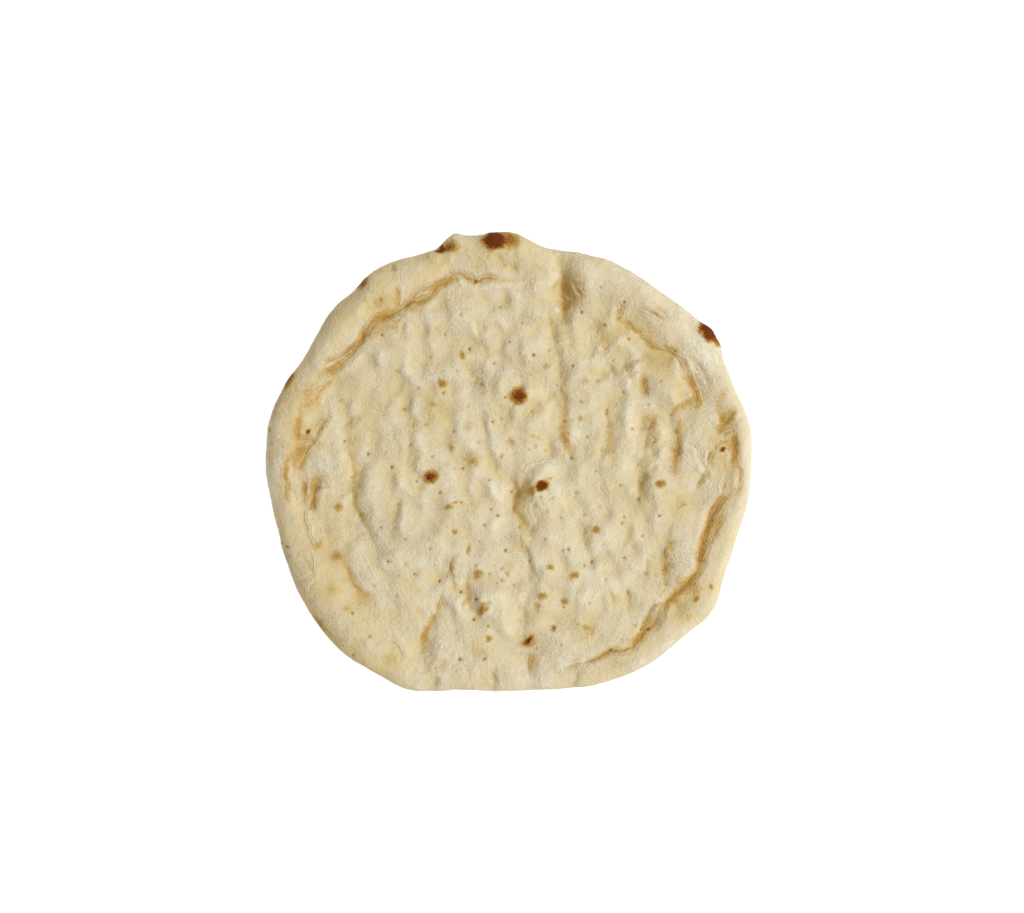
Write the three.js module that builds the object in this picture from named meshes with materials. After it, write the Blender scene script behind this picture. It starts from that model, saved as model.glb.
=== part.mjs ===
// A pita bread: one round, hand-stretched flatbread, baked in one piece.
// A puffed rim runs round a lower field, a crease parts the two, and the field is pressed into
// long finger hollows with low swells between them. The bread lies on its flat underside.
// Millimetres, +Z up, origin under the middle of the outline, on the surface that it lies on.

import * as THREE from "three";
import { mergeVertices } from "three/addons/utils/BufferGeometryUtils.js";

// Driving dimensions.
const WIDTH = 200; // widest span, along X
const FIELD_HEIGHT = 9.5; // usual height of the field inside the rim
const RIM_STEP = 2; // how far the rim stands above the field, on average
const RIM_SWING = 1.2; // how much more that is on its thick side, and less opposite
const THICK_SIDE = 120; // direction of the rim's thick side, in degrees from +X
const WAIST_HEIGHT = 5; // height at which the outline is widest
const SHOULDER = 9; // from the outline in to the top of the rim
const FOOT_INSET = 8; // from the outline in to the flat underside
const CREASE_DEPTH = 1.4; // how far the crease dips below the field
const CREASE_HALF_WIDTH = 4.2; // reach of that dip to each side
const RISE = 5.5; // from the crease out to the top of the rim, at least

// How finely the surface is divided.
const GRID = 40; // squares across the top, and across the underside
const EDGE_ROWS = 4; // rows of squares round the edge, between top and underside
const EDGE_TURN = THREE.MathUtils.degToRad(60); // how far the edge rows wrap up and down

const PERCENT = WIDTH / 2 / 100; // one percent of the half width

// The outline: [degrees from +X, distance from the middle in percent of the half width].
const OUTLINE = [
  [0, 99.8], [7, 100.5], [13, 99.4], [20, 97.3], [26, 98.4], [31, 100.1], [36, 97.9], [43, 95.4],
  [50, 93.6], [60, 92.9], [70, 91.2], [80, 89.6], [84, 91.2], [88, 94], [96, 94.2], [100.5, 94.6],
  [104, 97.2], [107, 93.6], [111, 92.2], [116, 93.5], [121, 95.3], [128, 96.2], [132, 94.9],
  [137, 95.9], [148, 94.6], [154, 94.8], [160, 97], [168, 99.1], [180, 99.7], [191, 98.8],
  [201, 99.4], [212, 101.7], [220, 103.2], [227, 104], [236, 102.6], [247, 102], [252, 99.3],
  [258, 95.9], [266, 94.5], [276, 94.7], [284, 96.3], [294, 99.2], [306, 101.6], [316, 101.9],
  [322, 104], [326, 103.4], [331, 100.7], [338, 99.3], [343, 98.8], [351, 99.7],
];

// The crease between rim and field: [degrees, distance in percent, depth from 0 to 1].
const CREASE = [
  [0, 90, 0.6], [8, 90, 0.8], [18, 85, 0.7], [28, 80, 0.6], [40, 75, 0.7], [50, 73, 0.7],
  [62, 73, 0.3], [75, 75, 0.2], [90, 74.5, 0.4], [100, 75, 0.9], [105, 77.8, 0.9],
  [113, 76.2, 1], [128, 76.6, 1], [135, 78.5, 1], [141, 77.5, 1], [154, 79.2, 1],
  [163, 78, 0.6], [172, 84, 0.6], [180, 86, 0.6], [188, 83, 0.8], [200, 82, 0.6],
  [214, 80, 0.5], [230, 85, 0.3], [250, 86, 0.2], [275, 86, 0.2], [289, 86.6, 0.4],
  [298, 87.5, 0.5], [303, 90, 0.5], [313, 87.7, 0.5], [324, 86.6, 0.5], [329, 88, 0.5],
  [340, 85.4, 0.5], [350, 88, 0.5],
];

// Finger hollows: [x, y] of both ends, half width and depth.
const HOLLOWS = [
  { from: [22, 82], to: [22, 58], halfWidth: 4, depth: 2.4 },
  { from: [21, 47], to: [22, 26], halfWidth: 3, depth: 1 },
  { from: [22, 26], to: [24, 2], halfWidth: 3.5, depth: 1.6 },
  { from: [34, 58], to: [38, 45], halfWidth: 4, depth: 1.3 },
  { from: [40, 24], to: [42, -6], halfWidth: 3.5, depth: 1.2 },
  { from: [53, 37], to: [54, 26], halfWidth: 4, depth: 1.2 },
  { from: [61, 20], to: [55, 2], halfWidth: 3, depth: 1.2 },
  { from: [67, 20], to: [67, -5], halfWidth: 3.5, depth: 1.4 },
  { from: [57, -4], to: [53, -17], halfWidth: 3, depth: 1.3 },
  { from: [66, -28], to: [63, -46], halfWidth: 3, depth: 1.2 },
  { from: [5, -3], to: [1, -16], halfWidth: 3.5, depth: 1.6 },
  { from: [1, -16], to: [8, -30], halfWidth: 3.5, depth: 1.2 },
  { from: [8, -38], to: [7, -62], halfWidth: 3.5, depth: 1 },
  { from: [-17, -49], to: [-14, -61], halfWidth: 3, depth: 1.2 },
  { from: [-26, -53], to: [-35, -80], halfWidth: 3.5, depth: 1.8 },
  { from: [-65, 14], to: [-64, -18], halfWidth: 3.5, depth: 1.5 },
  { from: [-64, -18], to: [-55, -34], halfWidth: 3.5, depth: 1 },
  { from: [-45, 30], to: [-43, 20], halfWidth: 3.5, depth: 1 },
  { from: [9, -76], to: [10, -90], halfWidth: 4, depth: 1.2 },
];

// Low swells where the dough has risen: centre, radius and height.
const SWELLS = [
  { at: [12, -12], radius: 13, height: 1.6 },
  { at: [64, 29], radius: 8, height: 1.2 },
  { at: [62, 8], radius: 8, height: 1 },
  { at: [62, -12], radius: 9, height: 1.2 },
  { at: [31, 6], radius: 9, height: 1 },
  { at: [4, 28], radius: 13, height: 1 },
  { at: [48, 14], radius: 8, height: 0.8 },
  { at: [-72, 0], radius: 10, height: 0.8 },
  { at: [-28, -10], radius: 14, height: 0.6 },
  { at: [-18, 62], radius: 13, height: 0.7 },
  { at: [-50, 44], radius: 12, height: 0.7 },
  { at: [72, -34], radius: 9, height: 0.8 },
  { at: [-4, -62], radius: 11, height: 0.8 },
  { at: [-68, -56], radius: 10, height: 0.7 },
];

// A smooth closed curve through one column of a polar list, as a function of the angle in degrees.
function roundTheRim(list, column) {
  const last = list[list.length - 1];
  const angles = [last[0] - 360, ...list.map((row) => row[0]), 360, list[1][0] + 360];
  const values = [last[column], ...list.map((row) => row[column]), list[0][column], list[1][column]];
  const curve = new THREE.CubicInterpolant(angles, values, 1);
  return (degrees) => curve.evaluate(degrees)[0];
}

const outlineAt = roundTheRim(OUTLINE, 1);
const creaseAt = roundTheRim(CREASE, 1);
const creaseDepthAt = roundTheRim(CREASE, 2);

const bell = (distance, halfWidth) => Math.exp(-((distance / halfWidth) ** 2));

function distanceToLine(x, y, from, to) {
  const line = new THREE.Line3(new THREE.Vector3(...from, 0), new THREE.Vector3(...to, 0));
  const point = new THREE.Vector3(x, y, 0);
  return line.closestPointToPoint(point, true, new THREE.Vector3()).distanceTo(point);
}

// How far the finger hollows and swells lower or raise the field at a point.
function fieldRelief(x, y) {
  let relief = 0;
  for (const { from, to, halfWidth, depth } of HOLLOWS) {
    relief -= depth * bell(distanceToLine(x, y, from, to), halfWidth);
  }
  for (const { at, radius, height } of SWELLS) {
    relief += height * bell(Math.hypot(x - at[0], y - at[1]), radius / 1.6);
  }
  return relief;
}

// Height of the top surface, before it rounds over at the edge.
function crownHeight(x, y, degrees, fromMiddle) {
  const pastCrease = fromMiddle - creaseAt(degrees) * PERCENT;
  const rimTop = (outlineAt(degrees) - creaseAt(degrees)) * PERCENT - SHOULDER;
  const rise = THREE.MathUtils.smoothstep(pastCrease, -1.5, Math.max(rimTop, RISE));
  const dip = CREASE_DEPTH * creaseDepthAt(degrees) * bell(pastCrease, CREASE_HALF_WIDTH);
  const fromThickSide = THREE.MathUtils.degToRad(degrees - THICK_SIDE);
  const step = RIM_STEP + RIM_SWING * Math.cos(fromThickSide);
  return FIELD_HEIGHT + step * rise - dip + fieldRelief(x, y);
}

// A quarter ellipse: 0 at the outline, 1 from the given inset inwards.
const roundOver = (inset, reach) => Math.sqrt(1 - (1 - Math.min(inset / reach, 1)) ** 2);

// Where a point of the box from -1 to 1 goes on the bread: the box's top becomes the top of the
// bread, its underside the underside, and its four sides the rounded edge.
function placeOnBread(point) {
  const { x: across, y: along, z: level } = point;
  const ring = Math.max(Math.abs(across), Math.abs(along));
  const turn = squareToCircle(across, along, ring);
  const degrees = THREE.MathUtils.euclideanModulo(THREE.MathUtils.radToDeg(turn), 360);
  const reach = level < 0 ? FOOT_INSET : SHOULDER;
  const edgeInset = reach * (1 - Math.cos(level * EDGE_TURN));
  const outline = outlineAt(degrees) * PERCENT;
  const fromMiddle = ring * (outline - edgeInset);
  const inset = outline - fromMiddle;
  const x = fromMiddle * Math.cos(turn);
  const y = fromMiddle * Math.sin(turn);
  const full = level < 0 ? 0 : crownHeight(x, y, degrees, fromMiddle);
  const z = WAIST_HEIGHT + (full - WAIST_HEIGHT) * roundOver(inset, reach);
  return point.set(x, y, z);
}

// The direction in which a point of the square lies once the square's rings are circles.
function squareToCircle(across, along, ring) {
  if (ring === 0) return 0;
  const quarter = Math.PI / 4;
  if (Math.abs(across) >= Math.abs(along)) {
    return quarter * (along / across) + (across < 0 ? Math.PI : 0);
  }
  return 2 * quarter - quarter * (across / along) + (along < 0 ? Math.PI : 0);
}

function breadGeometry() {
  const box = new THREE.BoxGeometry(2, 2, 2, GRID, GRID, EDGE_ROWS);
  box.deleteAttribute("normal");
  box.deleteAttribute("uv");
  const bread = mergeVertices(box, 1e-5);
  const places = bread.getAttribute("position");
  const point = new THREE.Vector3();
  for (let i = 0; i < places.count; i++) {
    placeOnBread(point.fromBufferAttribute(places, i));
    places.setXYZ(i, point.x, point.y, point.z);
  }
  bread.computeBoundingBox();
  const middle = bread.boundingBox.getCenter(new THREE.Vector3());
  bread.translate(-middle.x, -middle.y, -bread.boundingBox.min.z);
  bread.computeVertexNormals();
  return bread;
}

const crust = new THREE.MeshStandardMaterial({ color: 0xd6c69f, roughness: 0.85, metalness: 0 });

const pita = new THREE.Mesh(breadGeometry(), crust);
pita.name = "pita_bread";

const part = new THREE.Group();
part.add(pita);

export default part;
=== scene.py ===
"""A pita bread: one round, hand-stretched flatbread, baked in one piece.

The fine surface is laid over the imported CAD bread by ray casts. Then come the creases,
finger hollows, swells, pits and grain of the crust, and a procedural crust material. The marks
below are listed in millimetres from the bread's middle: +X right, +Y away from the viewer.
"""

import math

import bpy
import numpy as np
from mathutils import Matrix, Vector, noise
from mathutils.bvhtree import BVHTree


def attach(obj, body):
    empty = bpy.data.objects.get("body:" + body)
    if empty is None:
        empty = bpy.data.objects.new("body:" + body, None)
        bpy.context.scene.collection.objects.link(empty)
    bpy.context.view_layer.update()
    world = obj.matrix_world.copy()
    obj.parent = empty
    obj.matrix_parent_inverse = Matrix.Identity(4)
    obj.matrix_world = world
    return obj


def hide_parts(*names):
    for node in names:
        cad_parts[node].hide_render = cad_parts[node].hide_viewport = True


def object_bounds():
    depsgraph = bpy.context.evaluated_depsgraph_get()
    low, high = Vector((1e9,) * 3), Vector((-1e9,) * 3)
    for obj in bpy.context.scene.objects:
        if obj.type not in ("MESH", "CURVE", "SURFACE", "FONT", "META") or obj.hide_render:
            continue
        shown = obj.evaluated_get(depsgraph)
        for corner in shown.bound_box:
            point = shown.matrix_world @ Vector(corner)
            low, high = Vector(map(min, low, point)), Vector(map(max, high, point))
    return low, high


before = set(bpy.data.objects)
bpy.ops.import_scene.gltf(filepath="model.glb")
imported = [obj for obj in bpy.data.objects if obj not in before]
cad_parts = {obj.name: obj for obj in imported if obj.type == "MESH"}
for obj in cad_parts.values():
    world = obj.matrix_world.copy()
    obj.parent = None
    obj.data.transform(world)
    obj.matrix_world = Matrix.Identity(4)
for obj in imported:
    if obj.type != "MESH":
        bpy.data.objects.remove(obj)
cad_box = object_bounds()

MM = 0.001
NODE = "pita_bread"

# How finely the bread is divided.
TOP_CELLS = 280  # squares across the top; the underside has a quarter as many
EDGE_FINE_ROWS = 8  # rows round the edge that are as fine as the top
EDGE_COARSE_ROWS = 4  # rows below them, half as fine
TOP_INSET = 4.5  # the top's outermost ring lies this far in from the outline
FOOT_INSET = 4.0  # and the underside's this far
EDGE_CORE = 9.0  # the edge is sampled from a ring this far inside the outline
EDGE_ANGLES = (57, -41)  # directions, from that ring, of the top's and the underside's last rings
WAIST = 5.0  # height at which the outline is widest

# How thoroughly the CAD bread's facets are smoothed away, in rounds of averaging with the neighbours.
OUTLINE_ROUNDS = 6
FACET_ROUNDS = 16
GENTLE_ROUNDS = 200  # for the plain field, because its hollows are pressed in again, more finely
FIELD_EDGE = 80  # the field reaches this far from the middle, in mm
EDGE_FADE = 10  # and gives way to the rim over this distance

# How the marks come out.
MARK_GAIN = 1.2  # their heights and depths, over the listed ones
SPOT_RISE = 0.12  # how far a charred spot stands proud, in mm
PINHOLE_DEPTH = 0.2  # in mm
FAR = 9.0  # what the distance from the nearest crease, hollow or wrinkle counts as, at most, in mm

# The dough's own relief, in mm.
LARGE_PUFFS = 2.3
SMALL_PUFFS = 1.35
LUMPS = 0.6
GRAIN = 0.17
FINE_GRAIN = 0.10
SKIN = 1.25  # depth of the dry skin's wrinkles, which are bump only
PUFF_EDGE = 78  # towards this distance from the middle the puffs flatten out
RIM_PUFFS = 0.25  # what share of their height they keep on the rim
LEAN = 1.3  # how far, for each mm of its height, a puff leans to the left

# How the marks wander from their listed places, by noise: the size of its bends and its reach, in mm.
SLOW_WANDER = [(5, 0.7), (14, 0.8)]
FINE_WANDER = [(2.6, 0.8)]

# Creases: depth, reach to each side, how browned from 0 to 1, and the way they run.
CREASES = [
    # between rim and field, upper left
    (0.5, 1.0, 0.15, [(7, 75), (2, 74), (-4, 74.4)]),
    (1.5, 1.5, 0.6, [(-3, 74.4), (-8, 75), (-11, 74.5), (-14, 73.8), (-17, 75.2), (-21, 76.5),
        (-25, 75.5)]),
    (1.5, 1.6, 0.9, [(-22, 73.8), (-27, 72.5), (-30, 70.5), (-33, 67), (-37, 66), (-40, 65), (-42, 63),
        (-46, 61), (-50, 59.5), (-53, 58.5), (-56, 56.5), (-58, 54.5), (-60, 51), (-61, 48.5),
        (-63, 45.5), (-66, 42.5), (-69, 39.5), (-72, 37), (-76, 35), (-78, 33)]),
    (0.9, 1.2, 0.5, [(-32, 71), (-37, 69), (-40, 66), (-43, 63.5)]),
    (0.9, 1.1, 0.5, [(-59, 51.5), (-66, 45.5), (-70, 42.3), (-75, 39.5)]),
    (0.6, 1.0, 0.4, [(-46, 71), (-45, 64)]),
    (0.7, 1.1, 0.3, [(-43, 57), (-44.5, 51)]),
    # left rim
    (1.1, 1.3, 0.5, [(-79, 24), (-76, 29), (-71, 33)]),
    (0.7, 1.1, 0.3, [(-73.5, 22), (-73, 18)]),
    (0.9, 1.2, 0.5, [(-73.8, 18), (-75.5, 15.5), (-77.5, 12.8), (-79.5, 9.5), (-81, 7)]),
    (0.35, 1.0, 0.5, [(-83, 20), (-85.5, 17), (-86.3, 12.5), (-85, 9.5), (-81.5, 9.3)]),
    (0.6, 1.1, 0.5, [(-81, 6.5), (-83, 3), (-84.5, -1), (-85.2, -4)]),
    (0.7, 1.0, 0.6, [(-91, -1), (-91.5, -6), (-91, -12), (-89.5, -16.5)]),
    (1.6, 1.6, 0.6, [(-78, -8), (-79, -11), (-80, -14), (-80, -18), (-78.5, -21)]),
    (1.0, 1.1, 0.6, [(-83, -8), (-83.5, -13), (-82.5, -18)]),
    (0.5, 1.0, 0.3, [(-79, -11), (-75, -10), (-72, -10)]),
    (0.9, 1.1, 0.4, [(-84.5, -19), (-83, -25), (-80, -32), (-78, -36)]),
    # lower left
    (0.6, 1.2, 0.15, [(-84, -40), (-82, -42), (-80, -45.5), (-83, -48), (-88, -51)]),
    (0.5, 1.0, 0.2, [(-81, -37), (-80, -41), (-79.7, -45)]),
    (1.1, 1.5, 0.4, [(-67, -41), (-65, -46), (-63.5, -50.5), (-60.5, -53), (-57, -54)]),
    (0.8, 1.3, 0.2, [(-49, -71), (-46, -75), (-43.5, -80)]),
    # in the lower field
    (0.5, 0.9, 0.3, [(-22, -38.5), (-24.3, -42), (-24.5, -45), (-23, -49), (-22, -52)]),
    (0.5, 1.0, 0.3, [(4, -27.5), (3.8, -31), (5, -34.5), (7, -36.5), (8.3, -40.5), (9.3, -44),
        (12, -47)]),
    # upper right
    (0.7, 1.4, 0.3, [(47.2, 65.3), (44.8, 62.2), (43.7, 59.4), (45, 57)]),
    (0.7, 1.2, 0.5, [(45.5, 57.5), (47.6, 56.8), (49.6, 56), (51, 54), (52.6, 53), (53.4, 51),
        (55.6, 49.6), (57, 47.6), (59.4, 46.6)]),
    (0.4, 1.1, 0.4, [(55, 63), (58, 61), (61.5, 58.5)]),
    (0.3, 1.0, 0.3, [(58, 64), (62, 61.5), (65, 58)]),
    (0.5, 1.0, 0.6, [(59.4, 46.6), (63, 45.5), (67, 44.8), (70, 41), (72.5, 37)]),
    (0.9, 1.6, 0.5, [(70.5, 37), (73, 33.8), (75.5, 31), (77, 27), (77.8, 24), (76, 22)]),
    (0.8, 1.0, 0.4, [(73, 45), (76, 40), (79, 36), (81, 32)]),
    (0.6, 0.9, 0.2, [(76.5, 35), (79, 30), (80, 25)]),
    (0.5, 1.1, 0.4, [(65.5, 19), (69, 23), (73, 25), (76, 26)]),
    (0.8, 1.1, 0.3, [(26, 73), (29, 69.5), (31, 67)]),
    (0.7, 1.0, 0.3, [(49, 37), (51, 40.5), (54, 41.5)]),
    # right rim
    (1.0, 1.1, 0.4, [(84.5, 21), (87, 16), (89.5, 18), (92, 22)]),
    (1.0, 1.2, 0.5, [(91, 11), (91.8, 6), (91.5, 0)]),
    (0.2, 0.9, 0.3, [(89.5, 7), (87.5, 8), (85, 7), (84.3, 4.5)]),
    (0.8, 1.0, 0.6, [(83, 4), (82, 1), (81.5, -2)]),
    (0.7, 0.9, 0.4, [(74, 8), (77, 5), (77.3, 2), (80, -3), (83, -8)]),
    (0.8, 1.1, 0.4, [(94.5, -3), (94, -10), (92, -15)]),
    # between rim and field, lower right
    (1.0, 1.5, 1.0, [(89, -4), (87.8, -12), (86, -15), (84, -18), (82, -22), (80, -28), (78.5, -34),
        (77.5, -38), (77.3, -42), (76, -45.5), (73.5, -48.5), (71, -51), (68.5, -53), (66, -56),
        (63, -58.5), (60.8, -62.5), (58.8, -65.8), (56, -67.8), (54.5, -70), (52, -73), (50, -75),
        (47, -76.5), (44, -76.8), (41.5, -76.8), (39, -78.3), (36, -80), (32, -81.3)]),
    (0.5, 1.1, 0.3, [(88.5, -20), (84.5, -27), (81, -34), (79.5, -40)]),
    (0.5, 1.3, 0.2, [(60.5, -58), (57, -61), (55.5, -65), (54.2, -68)]),
    (0.6, 1.0, 0.6, [(22, -85), (30, -82.5), (36, -80)]),
]

# Finger hollows: depth, reach to the left and to the right of the bottom, how much more than usual
# the right wall is darkened with painted shade (below 0: less), and the bottom's path.
HOLLOWS = [
    (1.9, 3.0, 4.2, 0.0, [(21, 84), (21, 76), (21.5, 69), (22, 63), (23, 56)]),
    (0.8, 2.5, 3.0, 0.0, [(16.5, 61), (17.5, 54), (19, 48)]),
    (1.1, 2.8, 3.8, 0.1, [(20.5, 46), (20.5, 40), (21, 33), (22, 28), (22.7, 22), (22.5, 17),
        (21.5, 12), (22.5, 8), (24, 4), (26, 0), (28, -5)]),
    (1.0, 3.5, 4.5, 0.0, [(34, 58), (35.5, 52), (38, 48), (41, 45)]),
    (0.6, 2.0, 3.0, 0.1, [(41, 41), (42, 37), (43, 33)]),
    (0.6, 2.0, 3.0, 0.1, [(47, 41), (48, 37), (49, 32)]),
    (0.9, 2.5, 3.2, 0.1, [(54.5, 37), (54, 32), (55, 25)]),
    (0.8, 2.5, 3.5, 0.1, [(40.5, 25), (40, 17), (40.5, 10), (41, 3), (42, -6)]),
    (2.2, 1.8, 4.4, 0.4, [(61, 20), (57.5, 15), (55.5, 10), (55, 5), (55.5, -1)]),
    (1.1, 2.4, 3.2, 0.2, [(66, 20), (67.5, 14), (69, 10), (68.5, 5), (67, 0), (67.5, -6)]),
    (1.1, 1.8, 3.0, 0.2, [(61, -1), (57, -4), (54, -8), (52.8, -12), (53, -19)]),
    (0.9, 2.2, 3.0, 0.2, [(66, -29), (65, -33), (63, -37), (63, -41), (63.5, -45), (64.3, -51)]),
    (0.7, 1.6, 2.4, 0.3, [(80, -4), (78.5, -7), (77, -11)]),
    (0.5, 2.0, 2.4, 0.0, [(50, -33), (51.5, -38)]),
    (0.6, 2.0, 2.6, 0.1, [(56.5, -39), (56, -47)]),
    (0.6, 2.0, 2.8, 0.0, [(48.5, -53), (48, -61)]),
    (0.5, 2.0, 2.6, 0.1, [(40, -52), (43, -58)]),
    (1.1, 3.2, 3.2, 0.3, [(-66.5, 16), (-65.5, 9), (-65, 4), (-64, 0), (-63.5, -5), (-64, -10),
        (-63.5, -16), (-61.3, -21.5), (-59, -25), (-57.5, -28), (-55.5, -32)]),
    (0.6, 1.6, 2.2, 0.2, [(-67, 15), (-64, 17.5), (-60, 19)]),
    (0.25, 1.6, 2.2, 0.0, [(-41, 34), (-41.5, 28), (-41, 20), (-39.3, 16), (-40, 11), (-40.5, 6),
        (-41, 1), (-41.5, -3)]),
    (0.7, 3.0, 4.0, -0.3, [(-16, 61), (-12, 52), (-9, 45), (-10, 41)]),
    (0.5, 2.5, 3.5, -0.3, [(-19, 41), (-14, 34), (-10, 27)]),
    (0.6, 1.6, 2.4, 0.2, [(-6.5, 2), (-5, -3), (-3, -7)]),
    (1.15, 2.2, 5.0, 0.4, [(10, -2.5), (7, -5), (4.6, -8.5), (3, -12), (2.2, -16), (2.6, -20),
        (4.8, -23), (7.4, -26), (9.5, -29.5)]),
    (0.3, 2.0, 2.8, -0.3, [(4.5, -26), (3.5, -30), (4, -33), (6, -36), (8, -38), (8.5, -43), (10, -46),
        (13, -50)]),
    (0.6, 2.4, 3.2, -0.2, [(10, -50), (6, -57), (6.5, -62), (7, -66)]),
    (1.3, 2.6, 3.4, 0.4, [(-27, -52), (-29, -58), (-31, -64), (-34, -69), (-35, -74), (-34.8, -82)]),
    (1.0, 1.8, 2.8, 0.4, [(-17, -47), (-17.3, -53), (-17, -57), (-14.5, -61)]),
    (0.8, 1.8, 2.6, 0.3, [(-22, -38), (-24.5, -42), (-24.5, -45), (-23, -48), (-22.3, -53)]),
    (0.7, 2.0, 2.8, 0.1, [(33, -24), (31, -28), (31, -33), (34, -39)]),
    (0.9, 3.0, 4.0, 0.2, [(8, -77), (8, -82), (9.5, -89)]),
    # folds across the rim
    (0.8, 2.6, 1.8, -0.5, [(-30, -82), (-30, -88), (-31, -94)]),
    (0.7, 2.2, 1.8, -0.5, [(-17, -83), (-16, -88), (-16, -93)]),
    (0.7, 2.4, 1.8, -0.5, [(-6, -84), (-7, -89), (-8, -94)]),
    (0.6, 2.4, 1.8, -0.5, [(27, -85), (26.5, -89), (26, -93)]),
    (0.7, 2.0, 2.0, -0.5, [(-47, 78), (-48, 82)]),
    (0.9, 2.4, 2.0, -0.4, [(-26, 85), (-25.5, 94)]),
    (0.8, 2.0, 2.0, -0.4, [(-61.5, 71), (-63.5, 76)]),
    (0.7, 2.0, 2.0, -0.4, [(82, 49), (89, 53)]),
    (0.7, 2.2, 2.0, -0.5, [(93, 17), (99, 20)]),
    (0.6, 2.4, 2.0, -0.5, [(66, 60), (70, 66)]),
    (0.6, 2.0, 2.0, -0.5, [(80, -61), (86, -66)]),
    (0.5, 2.4, 2.0, -0.5, [(-74, -62), (-80, -67)]),
    (0.5, 2.4, 2.0, -0.5, [(-84, 40), (-90, 43)]),
]

# The marks in the next lists are ovals. After its strength, each has x, y, its half sizes across and
# along, once if it is round, and its tilt in degrees, if it has one.

# Swells and blisters: height, softness of the edge, and the oval.
SWELLS = [
    # rim, upper left
    (0.9, 1.6, -5.5, 89.5, 6, 4), (0.6, 1.4, -30, 85.5, 4), (0.15, 1.6, -82.3, 12.8, 3.4, 3.6),
    # rim, upper right
    (0.6, 1.5, 29, 75, 6, 7), (0.7, 1.6, 82, 53.5, 5, 4, -40), (0.25, 1.4, 87, 5, 2.6),
    # rim, lower right
    (0.6, 1.6, 72, -33, 5, 9, 12), (0.9, 1.8, 23, -76, 8, 8.5),
    # field, upper left
    (0.4, 1.4, -12, 63, 7, 8), (0.5, 1.4, -50, 45, 8), (0.35, 1.4, -27, 32, 6, 7),
    (0.7, 1.5, -73, 5, 7, 14), (0.4, 1.4, -15, 1, 6, 7),
    # field, upper right
    (0.6, 1.5, 12, 68, 6, 9), (0.5, 1.4, 6, 42, 5), (0.9, 1.8, 64, 29, 8.5, 9),
    (0.6, 1.6, 3, 27, 10.5, 11), (0.5, 1.5, 29, 25, 5.5, 10), (0.6, 1.6, 48, 14, 5, 11),
    (0.3, 1.4, 67, 10, 3, 4), (1.3, 1.8, 61.5, 9, 4.5, 10.5, 25), (0.6, 1.6, 31, 3, 6.5, 9),
    # field, lower left
    (0.4, 1.4, -30, -5, 8), (0.5, 1.5, -70, -18, 5, 6), (0.4, 1.4, -24, -19, 5, 6),
    (0.5, 1.4, -58, -42, 6, 11, 30), (0.5, 1.5, -4, -50, 7, 8), (0.5, 1.4, -13, -73, 8, 6),
    # field, lower right
    (0.9, 1.8, 61.5, -11, 7, 8), (1.5, 2.0, 12.5, -13, 9.5, 13, 8), (0.5, 1.4, 36, -30, 4.5, 5),
    (0.4, 1.4, 17, -43, 4), (0.4, 1.4, 29, -50, 8, 7),
]

# Dimples: depth and the oval.
DIMPLES = [
    # rim, upper left
    (0.6, -4, 83, 1.8, 2),
    # rim, upper right
    (0.8, 1.5, 78.5, 2.0, 2.4), (0.6, 38, 66, 5, 6), (0.8, 52, 60, 4.5), (0.8, 65, 43, 3, 5.5, -20),
    # rim, lower left
    (0.4, -47, -60, 5, 6), (0.6, -12, -78, 2.4, 3), (0.6, -27.3, -83, 2, 2.4),
    # rim, lower right
    (0.7, 70, -59, 2.4, 2.2), (0.9, 59, -63, 4, 5, -20),
    # field, upper left
    (0.4, -33, 45, 4, 5), (1.0, -43.5, 26, 3, 5),
    # field, lower left
    (0.5, -50, -18, 5, 7),
    # field, lower right
    (0.4, 42, -20, 3, 5), (0.4, 57, -28, 3, 4), (0.4, 20, -60, 4, 5),
]

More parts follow.
